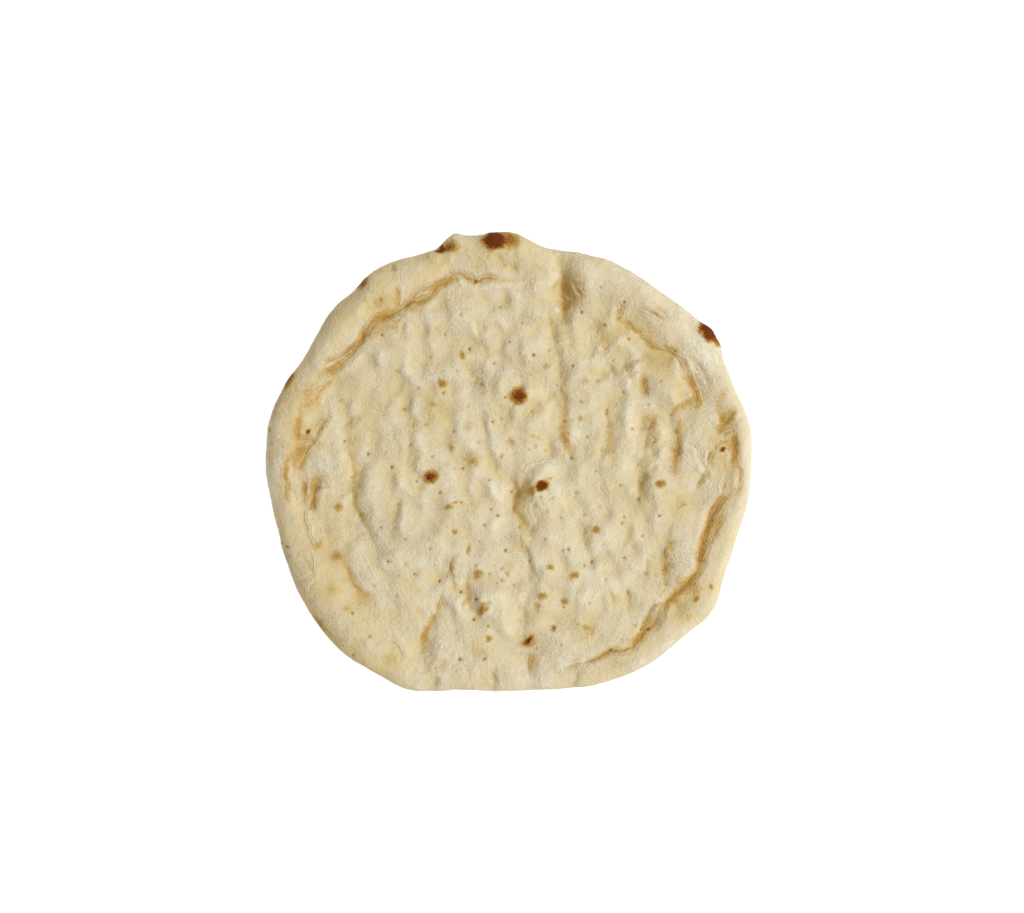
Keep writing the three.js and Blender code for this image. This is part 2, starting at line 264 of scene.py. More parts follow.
# Toasted and charred spots: darkness from 0 to 1 and the oval.
SPOTS = [
    # rim, upper left
    (0.66, -0.8, 90.4, 5.2, 3.2), (1.0, -5.8, 90, 4.7, 3.6), (0.65, -25, 88, 4.2, 2.3),
    (0.95, -28.1, 87.3, 1.4, 2.2, -15), (0.4, -33, 84, 0.5, 1.0), (0.7, -60.3, 74, 3.0, 1.9, 52),
    (0.65, -89.6, 34, 5.0, 1.4, 68), (0.5, -97, 12.5, 0.4, 1.4), (0.9, -82.3, 12.5, 1.1),
    # rim, upper right
    (1.0, 81.8, 53.2, 4.6, 3.1, -42), (0.75, 84.8, 50, 3.0, 1.7, -50), (0.9, 87, 5, 1.0),
    # rim, lower left
    (0.8, -92.8, -33, 0.5, 0.6), (0.7, -90.2, -34.7, 0.5), (0.4, -70, -38.5, 1.9, 1.7),
    (0.42, -77.3, -66.8, 4.6, 1.2, -50),
    # rim, lower right
    (0.5, 82.7, -51, 1.1), (0.6, 76, -56, 1.2, 1.7, -20), (0.3, 51.5, -66.8, 1.3, 0.8),
    (0.75, 57, -67.8, 1.4, 0.8, 20), (0.4, 11.7, -75.5, 0.7, 1.3), (0.85, 41.5, -76.7, 1.2, 0.8),
    # field, upper left
    (0.75, -13.5, 73.7, 1.1, 0.8), (0.55, -19, 43.3, 1.4, 1.7), (0.55, -27.4, 32, 1.8, 1.6),
    (0.25, -68.5, 25.5, 1.5, 1.8), (0.38, -31, 23.5, 1.9, 1.0), (0.25, -17, 14, 1.8, 2.2),
    (0.38, -23.7, 6, 1.4, 2.3, 15), (0.38, -3, 2, 0.8, 1.4), (0.35, -15.3, 0.8, 3.4),
    # field, upper right
    (0.45, 58.5, 47, 1.4, 1.0), (0.35, 15.5, 39, 1.5, 1.3), (0.28, 31, 33, 1.8, 1.6),
    (0.38, 56, 29, 0.7, 1.8), (0.85, 3.7, 26.9, 3.0, 3.2), (0.4, 40, 20, 0.8, 1.8),
    (0.35, 29, 17.5, 1.0, 1.2), (0.55, 68.9, 12.8, 0.7, 1.3), (0.3, 9.7, 10.5, 1.2, 0.9),
    (0.3, 12.5, 9.8, 1.0, 0.9), (0.35, 0.8, 8.3, 1.6, 2.0), (0.3, 11, 6.7, 0.9),
    (0.3, 38, 5, 1.1, 0.8), (0.3, 8, 4.8, 1.0, 0.9), (0.55, 68.4, 4.5, 0.9),
    # field, lower left
    (0.6, -15, -0.3, 1.0), (0.75, -32, -6, 3.2, 2.4), (0.95, -33, -6.4, 1.2, 1.0),
    (0.4, -22, -16.5, 1.2, 0.6, 30), (0.5, -24.7, -18.3, 2.0, 1.3), (0.45, -69.5, -18.5, 1.5, 1.8),
    (0.42, -21.5, -28.8, 1.4, 1.0), (0.42, -16.3, -35.5, 1.1, 2.3), (0.25, -42, -42, 0.9, 1.1),
    (0.35, -13.5, -42.5, 0.8, 1.5), (0.3, -2.5, -43.5, 1.0, 0.9), (0.3, -0.8, -45.5, 0.9, 1.2),
    (0.45, -12.7, -46, 2.1, 1.9), (0.25, -45, -46.5, 1.0), (0.3, -2.4, -48.4, 1.0, 0.9),
    (0.3, -4.9, -49.6, 0.9), (0.3, -8, -57.5, 1.3, 1.0), (0.5, -11, -60.5, 1.6, 3.3, -35),
    (0.5, -8, -72, 1.5, 1.0),
    # field, lower right
    (0.35, 17, -6.5, 1.6, 0.6, 20), (0.6, 62, -9.1, 2.0, 1.4), (1.0, 13.5, -9.7, 2.5, 2.1),
    (0.5, 9.5, -12, 1.5, 1.7), (0.3, 17.5, -14.5, 1.3, 0.7, 20), (0.5, 53.3, -15.3, 0.8, 1.5),
    (0.35, 71.5, -17.5, 1.2), (0.3, 15.5, -20.5, 1.5, 0.8, 30), (0.38, 30.8, -21.5, 0.9, 1.4),
    (0.5, 35.3, -27.8, 1.7, 1.4), (0.5, 17, -42.9, 1.4, 1.3), (0.5, 26.5, -46.3, 2.3, 1.5, 20),
    (0.5, 13.5, -54.6, 2.0, 1.3), (0.5, 22.7, -57, 1.4), (0.35, 12, -59, 0.9, 2.3),
    (0.38, 31.5, -67.5, 1.9, 1.2), (0.65, 18.2, -68, 1.3, 1.1), (0.9, 7.9, -72.7, 2.1, 1.4, 25),
    (0.5, 8, -73.2, 3.2, 2.5, 20),
]

# Broad tints, partly painted shade and painted light: how much darker, by toast and shade (above 0), or
# paler, by flour and light (below 0), and the oval.
TINTS_AND_SHADE = [
    # rim, upper left
    (0.15, -4, 90, 10, 5), (0.35, -26, 87, 7, 4), (0.2, -45, 83, 12, 4, 25), (0.4, -29, 81, 6, 5),
    (0.25, -9, 81, 6, 4), (0.35, -60, 73, 5, 4, 40), (0.15, -49, 71, 5), (0.55, -51, 63, 8, 5, 20),
    (0.35, -68, 61, 6), (0.25, -68, 40, 10, 6, 40), (0.5, -90, 31, 3, 8, -15),
    (0.25, -80, 20, 7, 10), (0.3, -88, 12, 4), (0.3, -78, 8, 5, 7), (0.5, -85.5, 4, 4, 3.5),
    (0.1, -88, 0, 5, 14),
    # rim, upper right
    (-0.2, 40, 80, 8, 5, -20), (-0.6, 30, 71, 6, 7), (0.1, 40, 65, 5, 8), (-0.25, 59, 61, 5),
    (-0.5, 74, 54, 12, 6, -45), (0.1, 83, 52, 8, 5, -45), (0.5, 65, 43, 3.5, 6, -20),
    (-0.3, 69, 42, 4, 5), (-0.8, 79, 42, 5), (-0.3, 79, 32, 4), (0.25, 78, 30, 5, 8, -20),
    (-0.2, 98, 7, 3.5, 16), (0.3, 86, 3, 6, 10), (-0.35, 79, 2, 4, 5),
    # rim, lower left; the first is painted light on the left edge's shade, the last a painted shadow
    # along the lower-left edge
    (-0.5, -98, -6, 4, 18), (0.45, -77.5, -33.5, 2.5, 3), (0.1, -78, -38, 6, 14),
    (0.3, -70, -38.5, 3.5, 3), (0.45, -68, -47, 5), (0.4, -72.5, -52.5, 3),
    (0.25, -82, -56, 6, 20, 30), (0.45, -60.5, -57, 3.5, 3), (0.25, -59, -61, 5, 7),
    (-0.4, -29, -71, 5, 8), (0.5, -34.5, -72, 2.6, 3.5), (-0.35, -20, -76, 5),
    (0.3, -49, -78, 5, 6), (0.3, -48, -81, 4, 3), (0.5, -60, -82, 3, 22, 50),
    # rim, lower right
    (-0.35, 79, -7, 4, 5), (-0.35, 89, -17, 4, 5), (0.15, 90, -24, 5, 12, 15),
    (-0.1, 92, -30, 6, 18, 20), (-0.3, 69, -37, 5), (0.4, 76, -51.5, 5), (-0.4, 59, -58, 5),
    (0.5, 70, -59, 3.5, 3), (0.2, 59, -62.5, 4.5, 5, -20), (0.35, 72, -63, 3, 2.5),
    (0.25, 58, -70, 12, 4, 35), (-0.3, 70, -76, 14, 6, 40), (0.12, 45, -84, 16, 4, 20),
    (0.35, 13, -85, 4, 2.5), (-0.7, 15, -86, 9, 5),
    # field, upper left
    (-0.15, -30, 55, 14, 9), (0.3, -29, 52, 5), (-0.7, -19, 52, 5), (-0.4, -59, 42, 5),
    (0.3, -19, 42, 4), (-0.4, -9, 33, 6, 7), (0.35, -49, 22, 5), (-0.3, -19, 22, 5),
    (0.9, -29, 21, 5, 6), (0.35, -59, 12, 5), (-0.3, -9, 12, 5), (-0.25, -35, 10, 14, 16),
    (0.3, -19, 3, 5), (-0.4, -74, 2, 8, 15),
    # field, upper right
    (0.3, 20, 66, 6, 9), (-0.2, 30, 56, 6, 8), (0.35, 40, 52, 5), (0.2, 50, 52, 4),
    (0.25, 50, 50, 10, 9), (-0.5, 50, 42, 5), (0.9, 59, 42, 5), (0.35, 69, 27, 5, 9),
    (-0.3, 0, 12, 5), (0.1, 20, 12, 5), (-0.4, 62, 9, 3, 9, 25), (-0.45, 30, 4, 5, 9),
    (-0.35, 50, 2, 4, 5), (-0.6, 59, 1, 4),
    # field, lower left
    (0.35, -68, -7, 5, 6), (-0.1, -52, -22, 6, 12), (0.25, -19, -27, 5), (-0.2, -20, -30, 16, 12),
    (-0.35, -39, -37, 5), (-0.3, -29, -37, 5), (-0.35, -49, -57, 5), (-0.3, -4, -61, 8, 7),
    # field, lower right
    (-0.35, 20, -7, 5), (-0.35, 12, -14, 8, 11), (0.4, 69, -17, 5), (-0.3, 25, -20, 14, 16),
    (-0.25, 50, -27, 5), (-0.3, 40, -37, 5), (-0.3, 35, -42, 14, 12), (-0.9, 10, -46, 5, 7),
    (-0.4, 0, -62, 7, 8), (0.3, 30, -66, 5),
]

# Ochre stains: strength from 0 to 1 and the oval.
STAINS = [
    # broad and faint
    (0.35, 90, 6, 5, 17), (0.2, -87, 4, 4, 13), (0.25, -80, 26, 6, 8, 40), (0.15, -78, -14, 4, 12),
    (0.15, -72, -40, 7, 12, 20), (0.22, -62, -58, 7), (0.25, -50, 62, 10, 6, 25),
    (0.1, 30, 66, 9, 12), (0.25, 76, 30, 5, 10), (0.28, 86, -24, 4, 12, -20),
    (0.22, 72, -54, 8, 6, 30), (0.25, 50, -74, 9, 4, 40), (0.4, 27, 71, 5, 9),
    (0.4, 57.5, 53, 5, 4, -30), (0.3, -84.5, 2, 4.5, 14, -5), (0.25, 68, 8, 4, 14),
    (0.2, 62, -40, 5, 9), (0.2, -33, -70, 4, 10, -10), (0.2, 48, 56, 9, 6, -30),
    # upper left rim and crease
    (0.4, -53, 65.7, 5, 3.4, 20), (0.5, -45.4, 68, 1.2, 4), (0.8, -50.8, 59.4, 4, 1.6, 20),
    (0.6, -57, 52.5, 6, 3, 40), (0.45, -48, 55.5, 6, 3, 25), (0.45, -38, 63, 5, 3, 25),
    (0.4, -29, 71, 5, 3, 20), (0.5, -35, 65.6, 4.5, 1.8, 25), (0.9, -27, 73.6, 5.5, 1.9, 18),
    (0.7, -13.5, 73.8, 3.5, 1.2, 5), (0.85, -71.5, 38, 4.5, 2.6, 42), (0.5, -64, 46, 4.5, 1.5, 45),
    (0.35, -81, 29, 5, 3.5, 40), (0.25, -60.4, 31.6, 3, 4), (0.25, -55, 39, 4, 3),
    (0.35, -44.7, 28.2, 3),
    # left rim
    (0.3, -82.5, 12.5, 3), (0.35, -82, 8, 2.4, 2, 30), (0.7, -85.3, 17, 1.3, 3.4, -10),
    (0.65, -86.5, 11.3, 1.4, 2.4, 10), (0.6, -82.5, 10.2, 2.6, 0.8, -8),
    (0.85, -85.2, 4.2, 2.6, 2.0, 25), (0.55, -89, 1.2, 2.4, 1.5, 30), (0.4, -87, -1, 2.4, 2),
    (0.75, -90.8, -5, 1.1, 5, 5), (0.5, -89.4, -10.5, 1.1, 3, 10), (0.85, -83.2, -11, 1.0, 4.5),
    (0.75, -80, -11, 1.4, 5), (1.0, -79.7, -17, 1.1, 2.8), (0.55, -77, -7.4, 3.6, 2.8),
    (0.35, -76.6, 7, 3), (0.45, -76.7, 14.5, 3.4, 1.0, 55), (0.4, -64, 17.6, 3.4, 1.1, 28),
    (0.35, -63, 8.3, 1.8, 4.5), (0.6, -62.6, -13.5, 1.0, 3), (0.35, -68.4, 25.4, 2, 3, -30),
    (0.4, -82, 23, 5, 2.6, 20), (0.25, -96, 1, 2.6, 4), (0.45, -95, 23, 2, 7, -15),
    (0.3, -97, 6, 2.4, 9),
    # lower left
    (0.8, -77.3, -33.3, 1.6), (0.35, -73.2, -29.2, 1.8, 4, 20), (0.6, -70.2, -38.8, 4.2, 2.8, -15),
    (0.4, -65.5, -45, 1.0, 4, 20), (0.45, -61.5, -51.5, 3.2, 1.1, -40), (0.45, -59.5, -55, 2.4),
    (0.4, -72.5, -52, 2.8, 3.2, 30), (0.4, -66, -59.5, 2.4, 1.8, 30), (0.4, -49, -79.5, 3, 2.4),
    (0.35, -60, -72, 2, 1.6), (0.6, -34.4, -71, 1.2, 4.5, -8), (0.4, -32, -64, 1.4, 4.5, -18),
    (0.3, -32, -93, 1, 2),
    # upper right
    (0.8, 23, 66, 1.7, 9, -4), (0.6, 28, 69, 3, 3.4, -30), (0.5, 45.6, 61, 1.5, 4, -15),
    (0.6, 50, 54.4, 5.5, 1.0, -38), (0.6, 58, 47.8, 2.6, 1.6, -35), (0.55, 60.5, 60, 3.6, 0.9, -32),
    (0.4, 38, 52, 2.6, 8, 12), (0.5, 65.5, 45.5, 2, 4, 30), (0.4, 50.5, 39, 2.4, 1.0, 30),
    (0.6, 55, 32, 1.6, 5.5, -6), (0.8, 74.9, 32, 1.6, 5, 18), (0.8, 76.7, 25, 1.7, 2.8, 10),
    (0.6, 70.8, 23, 4, 1.3, 22), (0.4, 22, 24, 2.0, 9, -3), (0.7, 23, 9.5, 2.6, 8, 5),
    (0.45, 5.8, 41.5, 2.0, 3.4, -10),
    # right rim
    (0.35, 86, 21.5, 3), (0.45, 87.5, 28, 1.4, 4, -25), (0.95, 88.3, 16.6, 6, 2.2, 52),
    (0.6, 89, 12.5, 2.2, 3.2), (1.0, 92, 7, 1.7, 5.2), (0.55, 91.8, 0.5, 1.3, 3),
    (0.5, 84.6, 5.6, 0.9, 2.4), (0.5, 87, 8, 2.2, 0.8), (0.6, 82.2, 3, 0.7, 4, 14),
    (0.55, 81.3, -5, 0.6, 4, -28), (0.2, 86, -1, 4), (0.6, 94.3, -4.6, 1.1, 5, 5),
    (0.4, 91.5, -11.5, 1.5, 4.5, 8), (0.4, 78.2, -9.4, 1.5, 3.4, -10), (0.45, 70.8, -17, 2.4),
    (0.5, 69.4, 15, 1.4, 5, 5), (0.45, 68.4, 3.5, 2.4, 5), (0.45, 67, -2.5, 1.8, 4),
    (0.55, 53.4, -11, 1.3, 6, -5), (0.45, 59.5, 13, 2.0, 7, 18), (0.45, 41, 12, 1.8, 7),
    (0.4, 57.5, 17.5, 2, 3, 20),
    # lower right crease
    (0.8, 86, -17.4, 2.4, 5, -30), (0.9, 83.2, -24, 2, 5, -28), (0.85, 80, -32, 1.8, 5, -20),
    (0.85, 78, -39, 1.7, 5, -8), (0.95, 72.3, -49.7, 3.6, 1.7, 32), (0.5, 76, -52, 4.4, 2.6),
    (0.9, 67.4, -54.8, 4, 1.5, 45), (0.7, 64.3, -60, 1.3, 3, -15), (0.5, 68.8, -58.6, 1.5, 3, -10),
    (0.45, 72.8, -63.4, 3.4, 1.8, -30), (0.85, 56.5, -65.5, 1.7, 4, -30),
    (0.95, 53, -71.8, 3.6, 1.9, 42), (0.95, 41, -77.4, 4, 1.4, 26), (0.5, 36, -80, 3, 0.8, 22),
    (0.3, 45.5, -82, 4, 2.4), (0.4, 85.4, -28, 1.8, 4, -20), (0.55, 66, -34.7, 1.8, 5, -22),
    (0.65, 63.6, -44, 0.9, 5, 6), (0.3, 66.5, -42, 3, 4), (0.4, 30, -84, 6, 0.9, 18),
    (0.35, 78.5, -36, 2.8, 8, -12), (0.35, 70, -49, 5, 3, 35), (0.3, 62, 42, 6, 4, -40),
    # field; the first two are painted shade on the left flank of the bubble by (12.5, -13)
    (0.55, 9, -11.5, 2.4, 5, -15), (0.55, 4.5, -14, 3.4, 9, -8), (0.5, 6.5, -26, 1.6, 5, 30),
    (0.3, 9, -48, 1.6, 6, 20), (0.5, -18, -57, 1.3, 6, -8), (0.35, -3.5, -7, 1.4, 4.5, 20),
    (0.55, 10, -81.5, 3, 5, -10), (0.4, -13, -77, 3.4), (0.45, -27, -82, 2.2, 2.4),
    (0.55, 33, -69, 2.4, 5, -30), (0.4, 33, -31, 1.4, 5, -12), (0.35, -16, 15, 3, 2.6),
    (0.4, -1.5, 80.5, 2.4, 3), (0.5, -40.6, 14, 0.9, 10, 4), (0.35, -24.5, -20, 1.6, 5, 25),
    (0.3, 24, -48.5, 2, 1.4),
]

# Gritty places, which also carry painted shade, greyer, on slopes that face away from the light: strength
# from 0 to 1 and the oval.
GRIT_AND_SHADE = [
    # rim, upper left
    (0.6, -70, 63, 5, 19, -40), (0.6, -82, 55, 7, 16, -40), (0.8, -94, 23, 3, 9, -15),
    (0.5, -90, 6, 5, 12),
    # rim, upper right
    (0.4, 76, 20, 4, 6),
    # rim, lower left
    (0.9, -92, -38, 4, 7, 20), (0.45, -78, -38, 6, 12), (0.4, -80, -56, 6, 24, 30),
    (0.15, -67, -68, 7, 10, 45),
    # rim, lower right
    (0.7, 82, -14, 4), (0.7, 65, -43, 4, 7), (0.9, 59, -63, 3, 4),
    # field, upper left
    (0.5, -22, 52, 6, 5), (0.5, -49, 34, 5, 7), (0.8, -12, 34, 4, 8),
    # field, upper right
    (0.6, 28, 68, 5, 7), (0.5, 10, 57, 6, 4), (0.4, 6, 40, 8, 6), (0.5, 22, 30, 4, 9),
    (0.8, 58, 11, 2.4, 8, 18), (1.0, 69, 3, 3.5, 10),
    # field, lower left
    (1.0, -48, -28, 6, 10, 30), (0.4, -34, -34, 6), (0.8, -50, -37, 4, 5),
    # field, lower right
    (0.4, 40, -4, 4, 8), (0.6, 57, -11, 3.5, 7), (0.5, 1, -30, 4, 6),
]

# Hairline wrinkles, which stand up, catch the light, and carry a painted highlight.
WRINKLES = [
    # on the two bubbles
    [(-8, 35), (-3, 37.5), (3, 38.2), (8, 36.5), (12, 33.5)],
    [(6.5, -2.2), (9.5, -0.6), (13.5, 0.2), (17.5, -1), (21.5, -4)],
    [(5, -4.6), (7.5, -2.2), (10.5, -1.6)],
    [(-1, 34.5), (5, 35.2), (9, 34)],
    # left rim
    [(-81.8, -6.5), (-82, -11), (-81.6, -14), (-82.2, -18)],
    [(-86, 7.4), (-84, 8.6), (-81.5, 9)],
    [(-84.5, 6.4), (-82.4, 7.6), (-80.6, 7.4)],
    [(-84, 2), (-81.5, 4.5), (-79.4, 6)],
    [(-79.2, 13.5), (-78, 15), (-76.6, 16.4)],
    [(-84, -19), (-82, -26), (-79, -33)],
    [(-79.5, -19.5), (-77.5, -25), (-74.5, -31)],
    [(-81.5, -19.5), (-80.5, -26), (-77, -34)],
    [(-79.9, -38), (-79.6, -42), (-79, -45)],
    [(-88, -49), (-84, -46.5), (-80, -45)],
    [(-75.5, 18), (-72.5, 22.5), (-73.5, 26)],
    # upper left crease
    [(-77, 36.6), (-72.5, 40), (-68, 44)],
    [(-79, 27), (-75, 31.5), (-70, 35), (-65, 39)],
    [(-40, 67), (-37.5, 70), (-35, 71.3), (-31, 72)],
    [(-27, 76.3), (-21, 77.6), (-16, 76.4)],
    # lower left
    [(-50.5, -71.8), (-47.5, -74), (-45.5, -77), (-43.5, -80)],
    [(-48.5, -71.6), (-45.5, -74.4), (-43, -78), (-40, -80.5)],
    [(-60, -36), (-56.5, -43), (-54, -49)],
    [(-24, -38), (-25, -42), (-24.2, -46), (-22, -51)],
    # low dome by the front rim
    [(15.7, -71), (20, -69.8), (25, -69), (31, -69), (33.4, -73.9)],
    [(23.4, -82.9), (29, -81), (34.6, -79.2)],
    # upper right
    [(24.6, 73), (27.5, 70), (30.4, 67.8)],
    [(26.8, 73), (29.5, 71), (32, 68.4)],
    [(22.4, 69), (24.2, 67.2), (25.2, 70)],
    [(53, 64), (60, 61), (67, 59), (73.5, 56.6)],
    [(54, 61.4), (58, 59.6), (62, 58)],
    [(46, 66.5), (44.6, 64), (44.8, 60.5)],
    [(65, 46.4), (70, 43.6), (75, 40.7), (79.9, 34.4)],
    [(72, 45), (75.5, 41), (78, 36.5), (80, 31)],
    [(76.5, 33), (78.4, 29.5), (79.2, 25.5)],
    [(7, 60.5), (10, 59), (12.5, 56.5)],
    [(5.5, 58.5), (8.5, 57.5), (10.5, 55)],
    # right rim
    [(87.6, 8.6), (89.4, 10.4), (92, 11.2)],
    [(86.4, 10.6), (88, 12.6), (90.6, 13.6)],
    [(92.6, 18), (90.6, 13), (91, 11)],
    [(74, 8.5), (77, 5.6), (77.4, 2), (80, -3.6)],
    [(86.5, -8), (85.6, -13), (82.4, -17.4)],
    [(89.4, -14), (87.6, -18.6), (84, -24)],
    [(95, -1), (94.4, -8), (92.4, -15)],
    # lower right
    [(34.5, -23.5), (31.6, -25), (29, -27.2)],
    [(83.6, -28), (81, -34), (79.8, -39)],
    [(50.5, -74.6), (46.5, -76), (42, -76)],
]

# Pinholes that the oven left, and the docker's pricks.
PINHOLES = [
    (-20, 60), (-10, 55), (5.3, 56.5), (-26, 52), (-16, 46), (-32, 42.8), (-21.5, 37.2), (0, 49),
    (-6, 40.5), (-13.8, 31.9), (-11.3, 32), (10, 43.5), (16.3, 45.7), (25.7, 39.2), (19.5, 31),
    (29.5, 61.3), (-3.8, 63.3), (42.2, 41.6), (51.5, 36.3), (36, 33.1), (61.5, 32.5), (37, 71),
    (39, 56), (48.7, 50.4), (67.5, 45.3), (46.5, 65), (-46, 37), (-52, 52), (-52, 66), (-67, 8.5),
    (-57.7, 3.3), (-61.2, -21.7), (-43.2, 21.7), (-40.3, 6.9), (-37, 30), (-33.7, 15.5),
    (-47.7, -2.3), (-45, -17.1), (-52.4, -26.7), (-42.2, -31.5), (-64.3, -6.4), (-38, -7.8),
    (-17, 22.6), (-26.5, 28), (-22.7, 13), (-12.6, 8), (-31.5, 1.9), (-22.2, -2.9), (-18.8, -2.6),
    (-8.3, -7.3), (-28.3, -12.6), (-19.3, -16.3), (-15.4, -17.1), (-25.7, -26.7), (-22.6, -28),
    (-12, -32), (-4.7, -22.2), (-10, -25.5), (-7.6, -19.2), (-1.6, 26.3), (11.9, 23.5), (9.3, 20.5),
    (4.5, 9.3), (-3, 18), (-6.8, 16.7), (14.8, 4.7), (1, -12), (12.5, -14.4), (10.2, -18),
    (21, -22.5), (4.3, -26.5), (14.4, -31.2), (27.5, -12.3), (26.4, -14.4), (22.5, 16.5), (25, 1.7),
    (28.8, 24.7), (32, 10.2), (35, -3.9), (35.8, 33), (5, 35), (46.5, 28.3), (56.6, 23.3),
    (50.4, 13.5), (42.7, 4.3), (59, 8.2), (65.8, 19.4), (45.3, -9.4), (37, -18.5), (46.8, -22.2),
    (45.7, -24.8), (54.2, -30.3), (61.3, -21.8), (38, -33.4), (52.5, -1), (-32.2, -35.5),
    (-1.5, -36), (21.4, -36), (24.2, -35.5), (8.3, -40.7), (-8.3, -45.7), (2.2, -50.2),
    (30.5, -42.4), (33.8, -40.7), (-28.5, -49), (-19.7, -53), (-13.3, -55.8), (-14.5, -64.5),
    (-8.8, -67), (22.1, -59.1), (32.7, -57.2), (28.2, -66.3), (-20, -80.5), (-10.2, -80.8),
    (-30.2, -83.6), (47, -39.2), (55.6, -45), (39.2, -47.7), (48.4, -53.2), (64.4, -50),
    (46, -72.3), (21.3, -74.7), (-61, -46), (-55.5, -50.7), (-49, -40.6), (-38.7, -45.4),
    (-46, -54.8), (-63.5, -61.5), (-56.7, -71.3), (-63.4, -79),
]


# ---------------------------------------------------------------- the mesh

def concentric(cells):
    """A square grid bent into rings: each point's ring, from 0 to 1, and its direction."""
    line = np.linspace(-1, 1, cells + 1)
    across, along = np.meshgrid(line, line, indexing="ij")
    ring = np.maximum(abs(across), abs(along))
    sideways = abs(across) >= abs(along)
    wide = np.where(across == 0, 1, across)
    tall = np.where(along == 0, 1, along)
    east_west = math.pi / 4 * along / wide + np.where(across < 0, math.pi, 0)
    north_south = math.pi / 2 - math.pi / 4 * across / tall + np.where(along < 0, math.pi, 0)
    return ring, np.where(sideways, east_west, north_south)


def border(cells):
    """The grid's outer points, in order round the square."""
    run = list(range(cells))
    sides = [(i, 0) for i in run] + [(cells, j) for j in run]
    sides += [(cells - i, cells) for i in run] + [(0, cells - j) for j in run]
    return [i * (cells + 1) + j for i, j in sides]


def grid_faces(cells, first):
    """Squares of a grid whose points start at number first, anticlockwise seen from above."""
    i, j = np.meshgrid(np.arange(cells), np.arange(cells), indexing="ij")
    corner = (first + i * (cells + 1) + j).ravel()
    return np.stack([corner, corner + cells + 1, corner + cells + 2, corner + 1], axis=1)


def bread_outline(tree, directions):
    """The CAD bread's radius in each direction, by rays from outside, at the waist."""
    far = 150
    radii = []
    for turn in directions:
        outward = Vector((math.cos(turn), math.sin(turn), 0))
        start = outward * far * MM + Vector((0, 0, WAIST * MM))
        hit = tree.ray_cast(start, -outward)[0]
        radii.append(math.hypot(hit.x, hit.y) / MM)
    return np.array(radii)


def evened(values, rounds):
    """A closed run of numbers, with its corners smoothed away."""
    for _ in range(rounds):
        values = (np.roll(values, 1) + 2 * values + np.roll(values, -1)) / 4
    return values


def dropped(tree, x, y, above):
    """Heights of the CAD bread, in mm, straight below or above points of the plan."""
    start_z = 50 * MM if above else -50 * MM
    way = Vector((0, 0, -1 if above else 1))
    heights = []
    for east, north in zip(x.ravel(), y.ravel()):
        hit = tree.ray_cast(Vector((east * MM, north * MM, start_z)), way)[0]
        heights.append(hit.z / MM)
    return np.array(heights).reshape(x.shape)


def disc(tree, cells, outline_at, inset, above):
    """The points of the bread's top or underside, in mm."""
    ring, turn = concentric(cells)
    reach = ring * (outline_at(turn) - inset)
    x = reach * np.cos(turn)
    y = reach * np.sin(turn)
    return np.stack([x, y, dropped(tree, x, y, above)], axis=-1).reshape(-1, 3)


def edge_row(tree, turns, outline_at, degrees):
    """One row of points round the edge, in mm, seen from the ring inside it at a slope in degrees."""
    angle = math.radians(degrees)
    row = []
    for turn in turns:
        out = Vector((math.cos(turn), math.sin(turn), 0))
        core = out * (outline_at(turn) - EDGE_CORE) * MM + Vector((0, 0, WAIST * MM))
        way = out * math.cos(angle) + Vector((0, 0, math.sin(angle)))
        row.append(tree.ray_cast(core, way)[0] / MM)
    return np.array(row)


def band(upper, lower):
    """Faces between two closed rows of points; the lower row has as many points or half as many."""
    count = len(lower)
    faces = []
    for i in range(count):
        j = (i + 1) % count
        if len(upper) == count:
            faces.append((upper[i], lower[i], lower[j], upper[j]))
        else:
            a, b, c = upper[2 * i], upper[2 * i + 1], upper[(2 * i + 2) % len(upper)]
            faces += [(a, lower[i], b), (b, lower[i], lower[j]), (b, lower[j], c)]
    return faces


def bread_mesh(tree):
    """The bread's plain surface: points in mm, and faces."""
    turn = concentric(TOP_CELLS)[1]
    rim = border(TOP_CELLS)
    rim_turns = np.unwrap(turn.ravel()[rim])
    radii = evened(bread_outline(tree, rim_turns), OUTLINE_ROUNDS)
    order = np.argsort(rim_turns % math.tau)

    def outline_at(angle):
        return np.interp(angle % math.tau, (rim_turns % math.tau)[order], radii[order], period=math.tau)

    blocks = [disc(tree, TOP_CELLS, outline_at, TOP_INSET, True)]
    faces = [tuple(face) for face in grid_faces(TOP_CELLS, 0)]
    loop = rim
    rows = EDGE_FINE_ROWS + EDGE_COARSE_ROWS
    slopes = np.linspace(*EDGE_ANGLES, rows + 2)[1:-1]
    for row, slope in enumerate(slopes):
        turns = rim_turns if row < EDGE_FINE_ROWS else rim_turns[::2]
        first = sum(len(block) for block in blocks)
        blocks.append(edge_row(tree, turns, outline_at, slope))
        next_loop = list(range(first, first + len(turns)))
        faces += band(loop, next_loop)
        loop = next_loop
    under_cells = TOP_CELLS // 4
    first = sum(len(block) for block in blocks)
    blocks.append(disc(tree, under_cells, outline_at, FOOT_INSET, False))
    faces += band(loop, [first + i for i in border(under_cells)])
    faces += [tuple(face[::-1]) for face in grid_faces(under_cells, first)]
    return np.concatenate(blocks), faces


def smoothed(values, edges, rounds):
    """Numbers or places at the points, averaged with their neighbours'."""
    a, b = edges[:, 0], edges[:, 1]
    size = len(values)
    near = np.bincount(edges.ravel(), minlength=size)
    columns = values.reshape(size, -1).copy()
    for _ in range(rounds):
        for k in range(columns.shape[1]):
            column = columns[:, k]
            total = np.bincount(a, column[b], size) + np.bincount(b, column[a], size)
            columns[:, k] = 0.5 * column + 0.5 * total / near
    return columns.reshape(values.shape)


# ---------------------------------------------------------------- the marks

def noise_field(x, y, z, size, seed, octaves=3, stretch=1.0):
    """Fractal noise, about -1 to 1, with features of the given size; stretched along Y."""
    shift = Vector((seed * 17.3, seed * 5.1, seed * 9.7))
    out = np.empty(len(x))
    for i, (east, north, up) in enumerate(zip(x / size, y / size / stretch, z / size)):
        out[i] = noise.fractal(Vector((east, north, up)) + shift, 0.9, 2.0, octaves)
    return out


